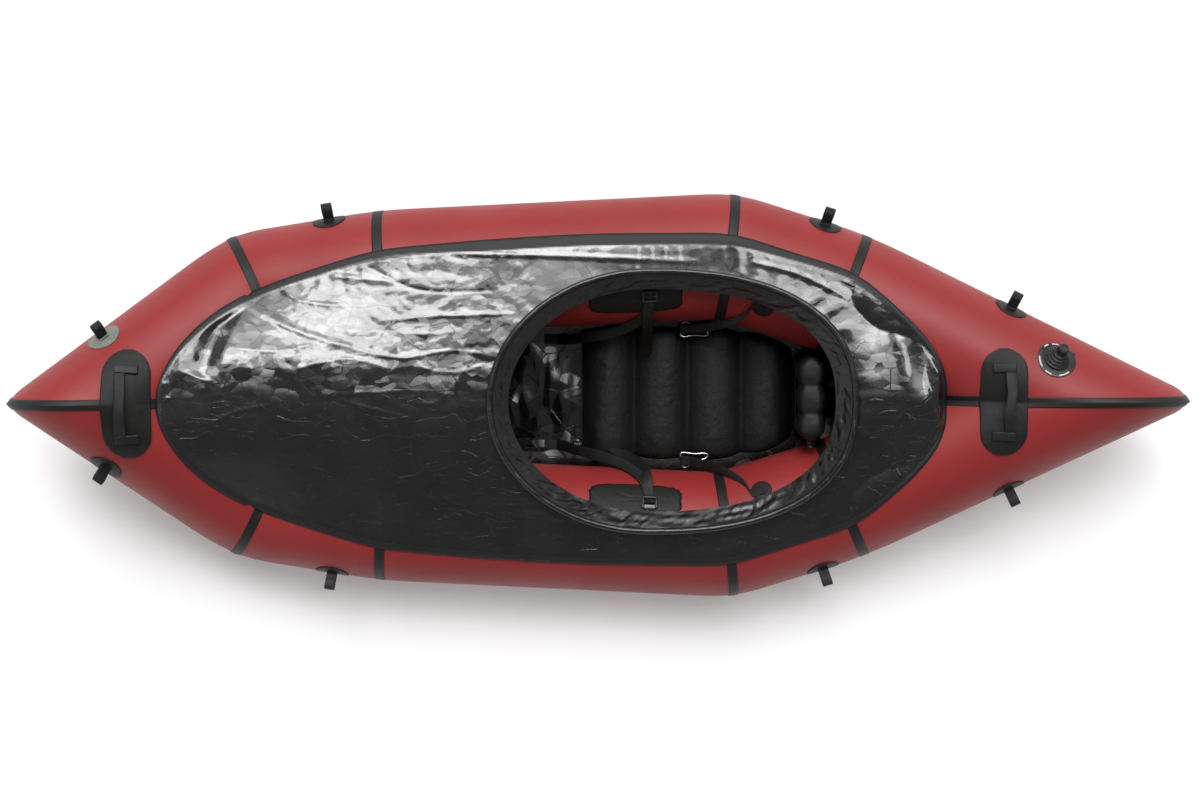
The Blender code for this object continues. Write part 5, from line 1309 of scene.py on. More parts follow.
    def wrinkles(self, x: float, y: float, weld: float, hole: float) -> float:
        """Return the height of the crumples and gathers at a plan point.

        Args:
            x: Its place along the raft.
            y: Its place across.
            weld: How far it lies inside the weld.
            hole: How far it lies outside the cockpit's edge.

        Returns:
            The height that they add.
        """
        starboard = smoothstep((y + 0.03) / 0.08)
        fore = smoothstep((-0.12 - x) / 0.12)
        crush = 0.25 + 0.75 * starboard * fore
        broad = abs(bumps(x * 11, y * 17, 0.0))
        middle = abs(bumps(x * 26 + y * 8, y * 34, 5.0))
        small = abs(bumps(x * 62, y * 70 - x * 20, 9.0))
        height = crush * (0.0014 * broad + 0.0010 * middle + 0.0004 * small) - 0.0007 * crush
        angle = atan2(y * 1.35, x - self.ring.centre)
        rear_pull = 0.6 + 0.8 * smoothstep((x - 0.25) / 0.2) + 0.5 * smoothstep((-x - 0.1) / 0.1)
        gather = sin(angle * 46 + 3 * bumps(angle * 3, 0, 0))
        height += 0.0011 * rear_pull * gather * exp(-hole / 0.045)
        place = x * 150 + 6 * bumps(x * 8, y * 3, 7)
        height += 0.0006 * sin(place) * exp(-max(weld - self.weld_width, 0) / 0.03)
        return height

    def build(self) -> None:
        """Make the deck."""
        line = self.hull.weld_line(self.lift)
        ends = line[0, 0], line[-1, 0]
        reach = (ends[1] - ends[0]) / 2 + 2 * self.cell
        breadth = line[:, 1].max() + 2 * self.cell
        columns = 8 * ceil(2 * reach / self.cell / 8)
        rows = 8 * ceil(2 * breadth / self.cell / 8)
        xs = np.linspace(sum(ends) / 2 - reach, sum(ends) / 2 + reach, columns + 1)
        ys = np.linspace(-breadth, breadth, rows + 1)
        heights = self.stretch(xs, ys)
        bm = bmesh.new()
        bmesh.ops.create_grid(bm, x_segments=columns, y_segments=rows, size=0.5)
        bm.verts.ensure_lookup_table()
        flat = np.array([vert.co[:2] for vert in bm.verts]) + 0.5
        i, j = np.rint(flat[:, 0] * columns).astype(int), np.rint(flat[:, 1] * rows).astype(int)
        x, y, z = xs[i], ys[j], heights[i, j]
        weld, hole = self.domain(x, y)
        gone = [vert for vert, out in zip(bm.verts, (weld < 0) | (hole < 0)) if out]
        for vert, a, b, c in zip(bm.verts, x, y, z):
            vert.co = (a, b, c)
        bmesh.ops.delete(bm, geom=gone, context="VERTS")
        stray = [face for face in bm.faces if all(edge.is_boundary for edge in face.edges)]
        bmesh.ops.delete(bm, geom=stray, context="FACES")
        self.trim(bm)
        self.dress(bm)
        area = sum(face.calc_area() for face in bm.faces)
        piece = publish(
            "deck_cloth", bm, "gloss_deck_cloth", replaces=["deck_sheet"],
            wall=Wall(self.thickness), outward=Vector((0, 0, 1)), smooth_angle=60,
        )

    def trim(self, bm: Mesh) -> None:
        """Bring the stepped rims of the grid to the weld line and the cockpit's edge."""
        line = self.hull.weld_line(self.lift)
        both = np.concatenate([line, line[::-1] * (1, -1, 1)])[:, :2]
        around = [self.ring.point(TURN * k / 720, 0.0, 0.0) for k in range(721)]
        hole = np.array([p[:2] for p in around])
        for vert in [v for v in bm.verts if v.is_boundary]:
            place = np.array(vert.co[:2])
            best = None
            for path in (both, hole):
                start, way = path[:-1], path[1:] - path[:-1]
                t = np.clip(((place - start) * way).sum(1) / np.maximum((way * way).sum(1), 1e-12), 0, 1)
                feet = start + way * t[:, None]
                distances = np.hypot(*(place - feet).T)
                nearest = distances.argmin()
                if best is None or distances[nearest] < best[0]:
                    best = distances[nearest], feet[nearest], path is both
            x, y = np.array([best[1][0]]), np.array([best[1][1]])
            tops, edge = self.fixed(x, y)
            vert.co = (x[0], y[0], tops[0] if best[2] else edge[0])

    def dress(self, bm: Mesh) -> None:
        """Add the folds, and mark the matt weld, its pale rim and the creased cloth."""
        bm.verts.ensure_lookup_table()
        x, y = np.array([vert.co[:2] for vert in bm.verts]).T
        weld, hole = self.domain(x, y)
        lifted = self.folds(x, y) + self.aft_form(x, y)
        tubes, _ = self.fixed(x, y)
        matt = bm.verts.layers.float.new("weld")
        rim = bm.verts.layers.float.new("rim")
        crush = bm.verts.layers.float.new("crush")
        for n, vert in enumerate(bm.verts):
            inward, outward = max(weld[n], 0.0), max(hole[n], 0.0)
            free = smoothstep((inward - 0.004) / self.weld_width) * smoothstep(outward / 0.02)
            free *= 0.15 + 0.85 * smoothstep((inward - self.weld_width) / 0.02)
            vert.co.z += free * (lifted[n] + self.wrinkles(x[n], y[n], inward, outward))
            if outward > 0.03:
                vert.co.z = max(vert.co.z, tubes[n] - 0.0008)
            step = 0.0006 * smoothstep((self.weld_width - inward) / 0.003)
            vert.co.z += step * smoothstep(inward / 0.003)
            band = self.weld_width
            if vert.co.y > 0:
                band += 0.010 * smoothstep((0.48 - abs(vert.co.x)) / 0.25)
            vert[matt] = smoothstep((band - inward) / 0.004)
            vert[rim] = 0.8 * smoothstep((0.0045 - inward) / 0.003)
            fore = smoothstep((-0.12 - x[n]) / 0.12) * smoothstep((y[n] + 0.01) / 0.06)
            near = exp(-outward / 0.05)
            rear = 0.7 * smoothstep((x[n] - 0.35) / 0.1) * smoothstep((y[n] + 0.02) / 0.08)
            vert[crush] = (0.10 + 0.90 * max(fore, 0.45 * near, rear)) * smoothstep((inward - band) / 0.015)


@dataclass
class Coaming:
    """The two sleeves that stand round the cockpit, with the hoop in their pocket."""

    ring: CockpitRing
    rise: float = 0.035
    thickness: float = 0.0012
    seam_angle: float = radians(115)
    hoop_radius: float = 0.0055
    hoop_length: float = 1.9
    clearance: float = 0.0004
    end_gap: float = 0.020
    ferrule_radius: float = 0.0032
    ferrule_length: float = 0.070
    stations: int = 560
    arc_steps: int = 22
    band_steps: int = 14
    pocket_turn: float = radians(322)

    def hoop_centre(self) -> Vector:
        """Return the hoop's place in the sleeve's section, across and up."""
        wrap = self.hoop_radius + self.clearance + self.thickness
        return Vector((self.ring.band - wrap, self.rise))

    def section(self, angle: float, points: Sequence[Vector]) -> list[Vector]:
        """Set (across, up) points of the section on the outline."""
        inner = self.ring.point(angle, 0.0, 0.0)
        band = self.ring.point(angle, self.ring.band, 0.0) - inner
        return [inner + band * (p.x / self.ring.band) + Vector((0, 0, p.y)) for p in points]

    def gather(self, angle: float, share: float) -> float:
        """Return how far the band's cloth stands off at a place, from its pull wrinkles.

        Args:
            angle: The place round the cockpit.
            share: The place across the band, 0 at the deck.

        Returns:
            The height, which is 0 at both edges.
        """
        turned = degrees(angle) % 360
        pulls = (
            (8, 34, 0.0016), (330, 30, 0.0014), (262, 26, 0.0019), (236, 14, 0.0022), (298, 22, 0.0017),
            (60, 30, 0.0009), (160, 40, 0.0005), (200, 26, 0.0007),
        )
        depth = 0.0005
        for middle, reach, most in pulls:
            apart = min(abs(turned - middle), 360 - abs(turned - middle))
            depth += most * exp(-((apart / reach) ** 2))
        wave = 1.5 * bumps(angle * 24 + share * 3, share * 1.4, 1.0)
        wave += 1.3 * bumps(angle * 8, share * 3.6 + angle * 2, 4.0)
        return depth * wave * sin(pi * min(max(share, 0.0), 1.0)) ** 0.8

    def outline(self, angle: float) -> list[Vector]:
        """Return the sleeve's closed section: a band, and the pocket that wraps the hoop."""
        start = pi + atan2(self.rise, self.ring.band)
        radius = self.hoop_radius + self.clearance + self.thickness / 2
        centre = self.hoop_centre()
        foot = Vector((0.0, self.thickness))
        head = centre + Vector((cos(start), sin(start))) * radius
        normal = Vector((-(head - foot).y, (head - foot).x)).normalized()
        line = []
        for k in range(self.band_steps):
            share = k / self.band_steps
            line.append(foot.lerp(head, share) + normal * self.gather(angle, share))
        for k in range(self.arc_steps + 1):
            turned = start - self.pocket_turn * k / self.arc_steps
            line.append(centre + Vector((cos(turned), sin(turned))) * radius)
        left, right = [], []
        for i, point in enumerate(line):
            way = (line[min(i + 1, len(line) - 1)] - line[max(i - 1, 0)]).normalized()
            square = Vector((-way.y, way.x))
            left.append(point + square * self.thickness / 2)
            right.append(point - square * self.thickness / 2)
        return left + right[::-1]

    def angles(self, start: float, end: float) -> list[float]:
        """Return the angles of the sections between two places, ends included."""
        steps = max(int(abs(end - start) / TURN * self.stations), 1)
        return [start + (end - start) * k / steps for k in range(steps + 1)]

    def rod(self, radius: float, start: float, end: float, length: float) -> Mesh:
        """Return a round rod at the hoop's place, between two angles."""
        spots = [Vector((cos(TURN * k / 20), sin(TURN * k / 20))) for k in range(20)]
        points = [self.hoop_centre() + spot * radius for spot in spots]
        return sweep([self.section(angle, points) for angle in self.angles(start, end)], (TURN * radius, length))

    def build(self) -> None:
        """Make the sleeves, the hoop and its ferrule."""
        trim = GAP / 2 / self.ring.half_width
        spans = {
            "front": (self.seam_angle + trim, TURN - self.seam_angle - trim),
            "rear": (-self.seam_angle + trim, self.seam_angle - trim),
        }
        for name, (start, end) in spans.items():
            rings = [self.section(angle, self.outline(angle)) for angle in self.angles(start, end)]
            length = length_of([ring[0] for ring in rings])
            bm = sweep(rings, (2 * (self.ring.band + 0.05), length))
            piece = publish(
                f"coaming_sleeve_{name}_cloth", bm, "black_sleeve_cloth",
                replaces=[f"coaming_sleeve_{name}"], smooth_angle=70,
            )
            self.band_width()
        gap, reach = self.end_gap / 2 / self.ring.half_width, self.ferrule_length / 2 / self.ring.half_width
        bm = self.rod(self.hoop_radius, gap, TURN - gap, self.hoop_length)
        publish("coaming_hoop_tube", bm, "hoop_alloy", replaces=["coaming_hoop"])
        bm = self.rod(self.ferrule_radius, -reach, reach, self.ferrule_length)
        publish("hoop_ferrule_pin", bm, "ferrule_steel", replaces=["hoop_ferrule"])

    def band_width(self) -> float:
        """Return the width that a sleeve's cloth was cut to."""
        line = self.outline(self.seam_angle)
        return length_of(line[: len(line) // 2])


# ---- The seat


def soft_rectangle(count: int, half_width: float, half_height: float, fullness: float) -> list[tuple[float, float]]:
    """Return (across, up) points of a soft rectangle."""
    points = []
    for k in range(count):
        cosine, sine = cos(TURN * (k + 0.5) / count), sin(TURN * (k + 0.5) / count)
        points.append((signed_power(cosine, fullness) * half_width, signed_power(sine, fullness) * half_height))
    return points


@dataclass
class Seat:
    """The channelled seat, the lobed backrest that folds over it, and their valves."""

    front: float = -0.055
    channels: int = 4
    pitch: float = 0.128
    half_width: float = 0.160
    tail_half_width: float = 0.112
    height: float = 0.086
    valley: float = 0.66
    lobes: int = 3
    back_half_width: float = 0.098
    back_height: float = 0.235
    back_depth: float = 0.070
    back_valley: float = 0.74
    lean: float = radians(5)
    foot: float = 0.044
    rear_gap: float = 0.006
    web_width: float = 0.17
    web_middle: float = 0.062
    web_top: float = 0.0905
    around: int = 72

    def seat_ring(self, share: float) -> list[Vector]:
        """Return one section of the seat, square to X, with its channel's crown."""
        swell = abs(sin(pi * self.channels * share)) ** 0.7
        end = sqrt(min(min(share, 1 - share) * 2 * self.channels * 1.5 + 0.24, 1.0))
        tall = self.height * (self.valley + (1 - self.valley) * swell) * end
        past = max(share - 0.62, 0.0) / 0.38
        wide = self.half_width + (self.tail_half_width - self.half_width) * past * past
        wide *= 1 - 0.055 * (1 - swell)
        x = self.front + self.channels * self.pitch * share
        middle = FLOOR_TOP + tall / 2
        return [Vector((x, y, middle + z)) for y, z in soft_rectangle(self.around, wide, tall / 2, 0.42)]

    def back_frame(self) -> Matrix:
        """Return the frame of the leaning backrest, at the foot of its front face."""
        start = self.front + self.channels * self.pitch + self.rear_gap
        return Matrix.Translation((start, 0, self.foot)) @ Matrix.Rotation(-self.lean, 4, "Y")

    def back_ring(self, share: float) -> list[Vector]:
        """Return one section of the backrest, square to Y."""
        swell = abs(sin(pi * self.lobes * share)) ** 0.7
        end = sqrt(min(min(share, 1 - share) * 2 * self.lobes * 1.4 + 0.12, 1.0))
        deep = self.back_depth * (self.back_valley + (1 - self.back_valley) * swell) * end
        tall = self.back_height * (1 - 0.04 * (1 - swell) - 0.10 * (1 - end))
        y = self.back_half_width * (1 - 2 * share)
        frame = self.back_frame()
        return [
            frame @ Vector((across + self.back_depth / 2, y, up + self.back_height / 2))
            for across, up in soft_rectangle(self.around, deep / 2, tall / 2, 0.45)
        ]

    def settle(self, piece: bpy.types.Object, held: set[int], cap: float) -> None:
        """Let air pressure settle a cushion's cloth, held along its welds.

        Args:
            piece: The cushion.
            held: The numbers of the points that stay.
            cap: How far a point may move.
        """
        mesh = piece.data
        before = [vert.co.copy() for vert in mesh.vertices]
        group = piece.vertex_groups.new(name="welds")
        group.add(sorted(held), 1.0, "REPLACE")
        cloth = piece.modifiers.new("air", "CLOTH")
        cloth.settings.use_pressure = True
        cloth.settings.uniform_pressure_force = 4.0
        cloth.settings.vertex_group_mass = "welds"
        cloth.settings.effector_weights.gravity = 0.0
        cloth.settings.tension_stiffness = cloth.settings.compression_stiffness = 20.0
        scene = bpy.context.scene
        for frame in range(1, 17):
            scene.frame_set(frame)
        settled = piece.evaluated_get(bpy.context.evaluated_depsgraph_get())
        after = [vert.co.copy() for vert in settled.data.vertices]
        piece.modifiers.remove(cloth)
        piece.vertex_groups.remove(group)
        scene.frame_set(1)
        for vert, start, end in zip(mesh.vertices, before, after):
            moved = end - start
            if moved.length > cap:
                moved *= cap / moved.length
            vert.co = start + moved
            vert.co.z = max(vert.co.z, min(start.z, FLOOR_TOP + 0.004))

    def cushion(self, name: str, rings: list[list[Vector]], channels: int, node: str, body: str) -> None:
        """Make one cushion with welded channels and settled cloth."""
        rows = len(rings) - 1
        length = length_of([ring[0] for ring in rings])
        bm = sweep(rings, (2 * self.height + 4 * self.half_width, length))
        caps = [face for face in bm.faces if len(face.verts) > 4]
        for cap in caps:
            bmesh.ops.inset_region(bm, faces=[cap], thickness=0.008, use_even_offset=True)
        bmesh.ops.recalc_face_normals(bm, faces=bm.faces)
        bm.normal_update()
        for vert in bm.verts:
            place = vert.co
            wave = abs(bumps(place.x * 24, place.y * 24, place.z * 30 + channels))
            vert.co = place - vert.normal * 0.0022 * wave
        piece = publish(name, bm, "black_seat_cloth", body, [node])
        spacing = rows // channels
        marks = [Vector(rings[k * spacing][m]) for k in range(channels + 1) for m in range(0, self.around, 2)]
        held = set()
        for vert in piece.data.vertices:
            near = min((vert.co - mark).length for mark in marks)
            if near < 0.007 or vert.co.z < FLOOR_TOP + 0.003:
                held.add(vert.index)
        self.settle(piece, held, 0.005)
        smooth = piece.modifiers.new("soft", "SUBSURF")
        smooth.levels = smooth.render_levels = 1

    def twist_valve(self, node: str, body: str, out: Vector) -> None:
        """Make a valve with a grooved collar, in place of its solid."""
        low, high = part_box(node)
        middle = (low + high) / 2
        z_axis = out.normalized()
        x_axis = Vector((0, 0, 1)).cross(z_axis).normalized()
        reach = max(abs((high - low).dot(z_axis)), 0.02)
        collar, length, stem = 0.010, 0.016, 0.0040
        pit = length - 0.001
        base = reach / 2 - length
        frame = Matrix.Translation(middle + z_axis * base) @ axes(x_axis, z_axis)
        profile = [(0, -0.008), (stem, -0.008), (stem, 0.0), (collar * 0.94, 0.0), (collar, 0.0006), (collar, 0.0044)]
        profile += [(collar * 0.94, 0.0050), (collar * 0.74, 0.0058), (collar * 0.7, 0.0075), (collar * 0.74, 0.0096)]
        profile += [(collar * 0.87, 0.0108), (collar * 0.9, 0.0116), (collar * 0.9, 0.0148), (collar * 0.84, 0.0156)]
        profile += [(collar * 0.6, length), (collar * 0.2, length), (collar * 0.16, pit), (0, pit)]
        bm = lathe(profile, frame, 48)
        publish(f"{node}_body", bm, "black_rubber", body, [node], smooth_angle=35)

    def build(self) -> None:
        """Make the seat, the backrest and their valves."""
        rows = self.channels * 16
        rings = [self.seat_ring(k / rows) for k in range(rows + 1)]
        self.cushion("seat_cushion_cloth", rings, self.channels, "seat_cushion", ROOT)
        rows = self.lobes * 14
        rings = [self.back_ring(k / rows) for k in range(rows + 1)]
        self.cushion("backrest_cloth", rings, self.lobes, "backrest", "backrest")
        self.twist_valve("seat_twist_valve", "seat_valve", Vector((-1, 0, 0)))
        self.twist_valve("backrest_twist_valve", "backrest_valve", Vector((0, -1, 0)))
        self.web()

    def web(self) -> None:
        """Make the cloth web that holds the backrest to the seat's tail."""
        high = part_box("seat_cushion")[1]
        tail = self.front + self.channels * self.pitch - 0.002
        low, top = FLOOR_TOP + self.height * self.valley * 0.49 / 2, min(high.z, self.web_top)
        places = (tail, 0, low), (high.x - 0.0016, 0, self.web_middle), (high.x - 0.0008, 0, top)
        line = smooth_path([Vector(place) for place in places], 6)
        bm = webbing(line, [Vector((0, 1, 0))] * len(line), [self.web_width] * len(line), BLADDER_WALL)
        publish("seat_web_cloth", bm, "grey_patch_cloth")


# ---- Patches, loops and handles


@dataclass
class WallPatch:
    """A soft-cornered patch of cloth, welded on a tube's wall."""

    hull: HullShape
    panel: int
    station: float
    lean: float
    half_length: float
    half_drop: float
    roundness: float = 2.0
    scallop: float = 0.0

    def mesh(self, side: Side) -> Mesh:
        """Return the patch as a sheet whose rim is thinned down to the wall."""

        def place(u: float, v: float) -> Vector:
            """Return a point, from the middle at v = 0 to the rim."""
            angle = TURN * u
            cosine, sine, power = cos(angle), sin(angle), 2 / self.roundness
            wave = 1 - self.scallop * (0.5 + 0.5 * cos(18 * angle))
            along = signed_power(cosine, power) * self.half_length * v * wave
            drop = signed_power(sine, power) * self.half_drop * v * wave
            rise = PATCH_LIFT + 0.0004 * abs(bumps(along * 60, drop * 60, self.station)) * (1 - v ** 4)
            spot = self.hull.wall_frame(self.panel, self.station, self.lean + drop / TUBE_RADIUS, rise, side)
            return spot @ Vector((along, 0, 0))

        return surface(72, 14, place, (2 * self.half_length, self.half_drop))

    def weld(self, name: str, node: str, side: Side, finish: str = "grey_patch_cloth") -> None:
        """Publish the patch on one side, in place of its solid."""
        outward = self.hull.wall_frame(self.panel, self.station, self.lean, 0.0, side).col[2].xyz
        wall = Wall(PATCH_THICKNESS)
        publish(name, self.mesh(side), finish, replaces=[node], wall=wall, outward=outward)


@dataclass
class TieDowns:
    """The eight tie-down points: a round patch, and a webbing loop sewn on it."""

    hull: HullShape
    radius: float = 0.039
    loop_width: float = 0.024
    loop_reach: float = 0.040
    bulge: float = 0.0085
    places: tuple[tuple[str, int, float, float], ...] = (
        ("bow", 0, 0.14, 55.0), ("fore", 1, 0.66, 72.0), ("aft", 3, 0.67, 70.0), ("stern", 4, 0.66, 70.0),
    )

    def build(self) -> None:
        """Make every patch and its loop."""
        for side in Side:
            for name, panel, share, lean in self.places:
                ends = self.hull.centres[panel], self.hull.centres[panel + 1]
                station = ends[0].x + (ends[1].x - ends[0].x) * share
                turned = radians(lean)
                label = f"tie_down_{name}_{side.label}"
                patch = WallPatch(self.hull, panel, station, turned, self.radius, self.radius)
                pale = name == "bow" and side is Side.STARBOARD
                cloth = "worn_green_cloth" if pale else "grey_patch_cloth"
                root = self.hull.wall_frame(panel, station, turned, PATCH_LIFT + PATCH_THICKNESS * 0.9, side)
                patch.weld(f"{label}_patch", label, side, cloth)
                shares = ((0.0, -0.36), (0.64, -1.0), (0.90, -0.72), (1.0, 0.0), (0.90, 0.72), (0.64, 1.0), (0.0, 0.36))
                points = [root @ Vector((0, b * self.bulge, max(r * self.loop_reach, 0.0008))) for r, b in shares]
                points.insert(0, root @ Vector((0, -self.bulge * 1.5, 0.0010)))
                points.append(root @ Vector((0, self.bulge * 1.5, 0.0010)))
                line = smooth_path(points, 7)
                bm = webbing(line, [root.col[0].xyz] * len(line), [self.loop_width] * len(line), ripple=0.0002)
                publish(f"{label}_loop", bm, "black_webbing", smooth_angle=80)
                self.tack(f"{label}_tacks", root, "pale_print" if pale else "black_webbing")

    def tack(self, name: str, root: Matrix, finish: str) -> None:
        """Sew the loop's ends down with a row of bar tacks."""
        bits = []
        for row in (-1.25, -0.75, 0.75, 1.25):
            for k in range(7):
                x = (k - 3) * self.loop_width / 7.6
                low = Vector((x - 0.0011, row * self.bulge - 0.0003, 0.0012))
                high = Vector((x + 0.0011, row * self.bulge + 0.0003, 0.0022))
                bits.append(rounded_block(low, high, root, 0.00025, 1))
        publish(name, merged(*bits), finish)


@dataclass
class GrabHandles:
    """Each end's patch with its two sewn pads, and the bail that lifts from it."""

    hull: HullShape
    patch_length: float = 0.244
    patch_width: float = 0.104
    pad_spacing: float = 0.134
    pad_length: float = 0.020
    pad_width: float = 0.052
    pad_thickness: float = 0.0080
    grip_width: float = 0.026
    grip_thickness: float = 0.004
    bow_inset: float = 0.0556
    stern_inset: float = 0.1425
    lift: float = 0.0022

    def over(self, panel: int, x: float, y: float, lift: float) -> Vector:
        """Return a point over the meeting tubes at one end of the raft."""
        height = self.hull.top_height(panel, np.array(x), np.array(abs(y)), lift)
        return Vector((x, y, float(height)))

    def frame(self, panel: int, x: float, y: float, side: Side) -> Matrix:
        """Return a frame that lies on the patch: X aft, Y away from the centreline."""
        step = self.pad_length / 4
        x_axis = self.over(panel, x + step, y, self.lift) - self.over(panel, x - step, y, self.lift)
        y_axis = self.over(panel, x, y + step, self.lift) - self.over(panel, x, y - step, self.lift)
        z_axis = x_axis.cross(y_axis).normalized()
        x_axis = y_axis.cross(z_axis).normalized()
        here = Matrix.Translation(self.over(panel, x, y, self.lift))
        return side.mirror @ here @ axes(x_axis, z_axis)

    def build(self) -> None:
        """Make both ends' handles."""
        bow, stern = self.hull.centres[0].x + self.bow_inset, self.hull.centres[-1].x - self.stern_inset
        for name, panel, centre in (("bow", 0, bow), ("stern", 4, stern)):
            self.build_patch(name, panel, centre)
            self.build_grip(name)

    def build_patch(self, name: str, panel: int, centre: float) -> None:
        """Make one end's lens-shaped patch with its pads and their stitches."""

        def place(u: float, v: float) -> Vector:
            """Return a point of the patch."""
            across = 2 * v - 1
            narrow = sqrt(max(1 - max((abs(across) - 0.56) / 0.44, 0) ** 2, 0.04))
            x = centre + (2 * u - 1) * narrow * self.patch_width / 2
            y = across * self.patch_length / 2
            rise = self.lift + 0.0006 * abs(bumps(x * 50, y * 40, 3.0))
            return self.over(panel, x, y, rise)

        bm = surface(28, 64, place, (self.patch_width, self.patch_length))
        publish(
            f"handle_patch_{name}_cloth", bm, "grey_patch_cloth",
            replaces=[f"handle_patch_{name}"], wall=Wall(PATCH_THICKNESS), outward=Vector((0, 0, 1)),
        )
        pad_y = self.pad_spacing / 2 + self.pad_length / 2
        for side in Side:
            frame = self.frame(panel, centre, pad_y, side)
            half = Vector((self.pad_width / 2, self.pad_length / 2, 0))
            low = Vector((-half.x, -half.y, 0.0))
            high = Vector((half.x, half.y, self.pad_thickness))
            pad = rounded_block(low, high, frame, 0.0022, 4)
            publish(f"handle_pad_{name}_{side.label}", pad, "black_webbing")
            bits = []
            for row in (-0.72, -0.36, 0.36, 0.72):
                for k in range(11):
                    x = (k - 5) * self.pad_width / 12.5
                    start = Vector((x - 0.0015, row * half.y - 0.0004, self.pad_thickness - 0.0004))
                    end = Vector((x + 0.0015, row * half.y + 0.0004, self.pad_thickness + 0.0006))
                    bits.append(rounded_block(start, end, frame, 0.0003, 1))
            publish(f"handle_stitches_{name}_{side.label}", merged(*bits), "grey_patch_cloth")

    def build_grip(self, name: str) -> None:
        """Make one end's bail: doubled webbing in a soft arch, as one thick strap without stitches."""
        node = f"grab_handle_{name}"
        half_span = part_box(node)[1].y - 0.0002
        places = np.array([vert.co[:] for vert in bpy.data.objects[node].data.vertices])
        middle = places[np.abs(places[:, 1]) < 0.002]
        ends = places[np.abs(places[:, 1]) > half_span - 0.004]
        top, foot = Vector(middle.mean(0)), Vector(ends.mean(0))
        inner, outer = ends[ends[:, 0].argmin()], ends[ends[:, 0].argmax()]
        slope = Vector((outer[0] - inner[0], 0, outer[2] - inner[2])).normalized()
        points, widths = [], []
        count = 44
        for k in range(count + 1):
            share = 2 * k / count - 1
            widths.append(self.grip_width * (0.97 - 0.10 * (1 - abs(share)) ** 2))
            rise = 1 - share * share
            sway = 0.0035 * sin(pi * share * 1.1) * rise * (0.3 if name == "bow" else 1)
            place = Vector((foot.x, share * half_span, foot.z)) + Vector((top.x - foot.x, 0, top.z - foot.z)) * rise
            points.append(place + slope * sway)
        bm = webbing(points, [slope] * len(points), widths, self.grip_thickness * 0.96, 0.0002)
        publish(f"{node}_webbing", bm, "black_webbing", f"{name}_handle", [node], smooth_angle=80)


# ---- The valve and the straps


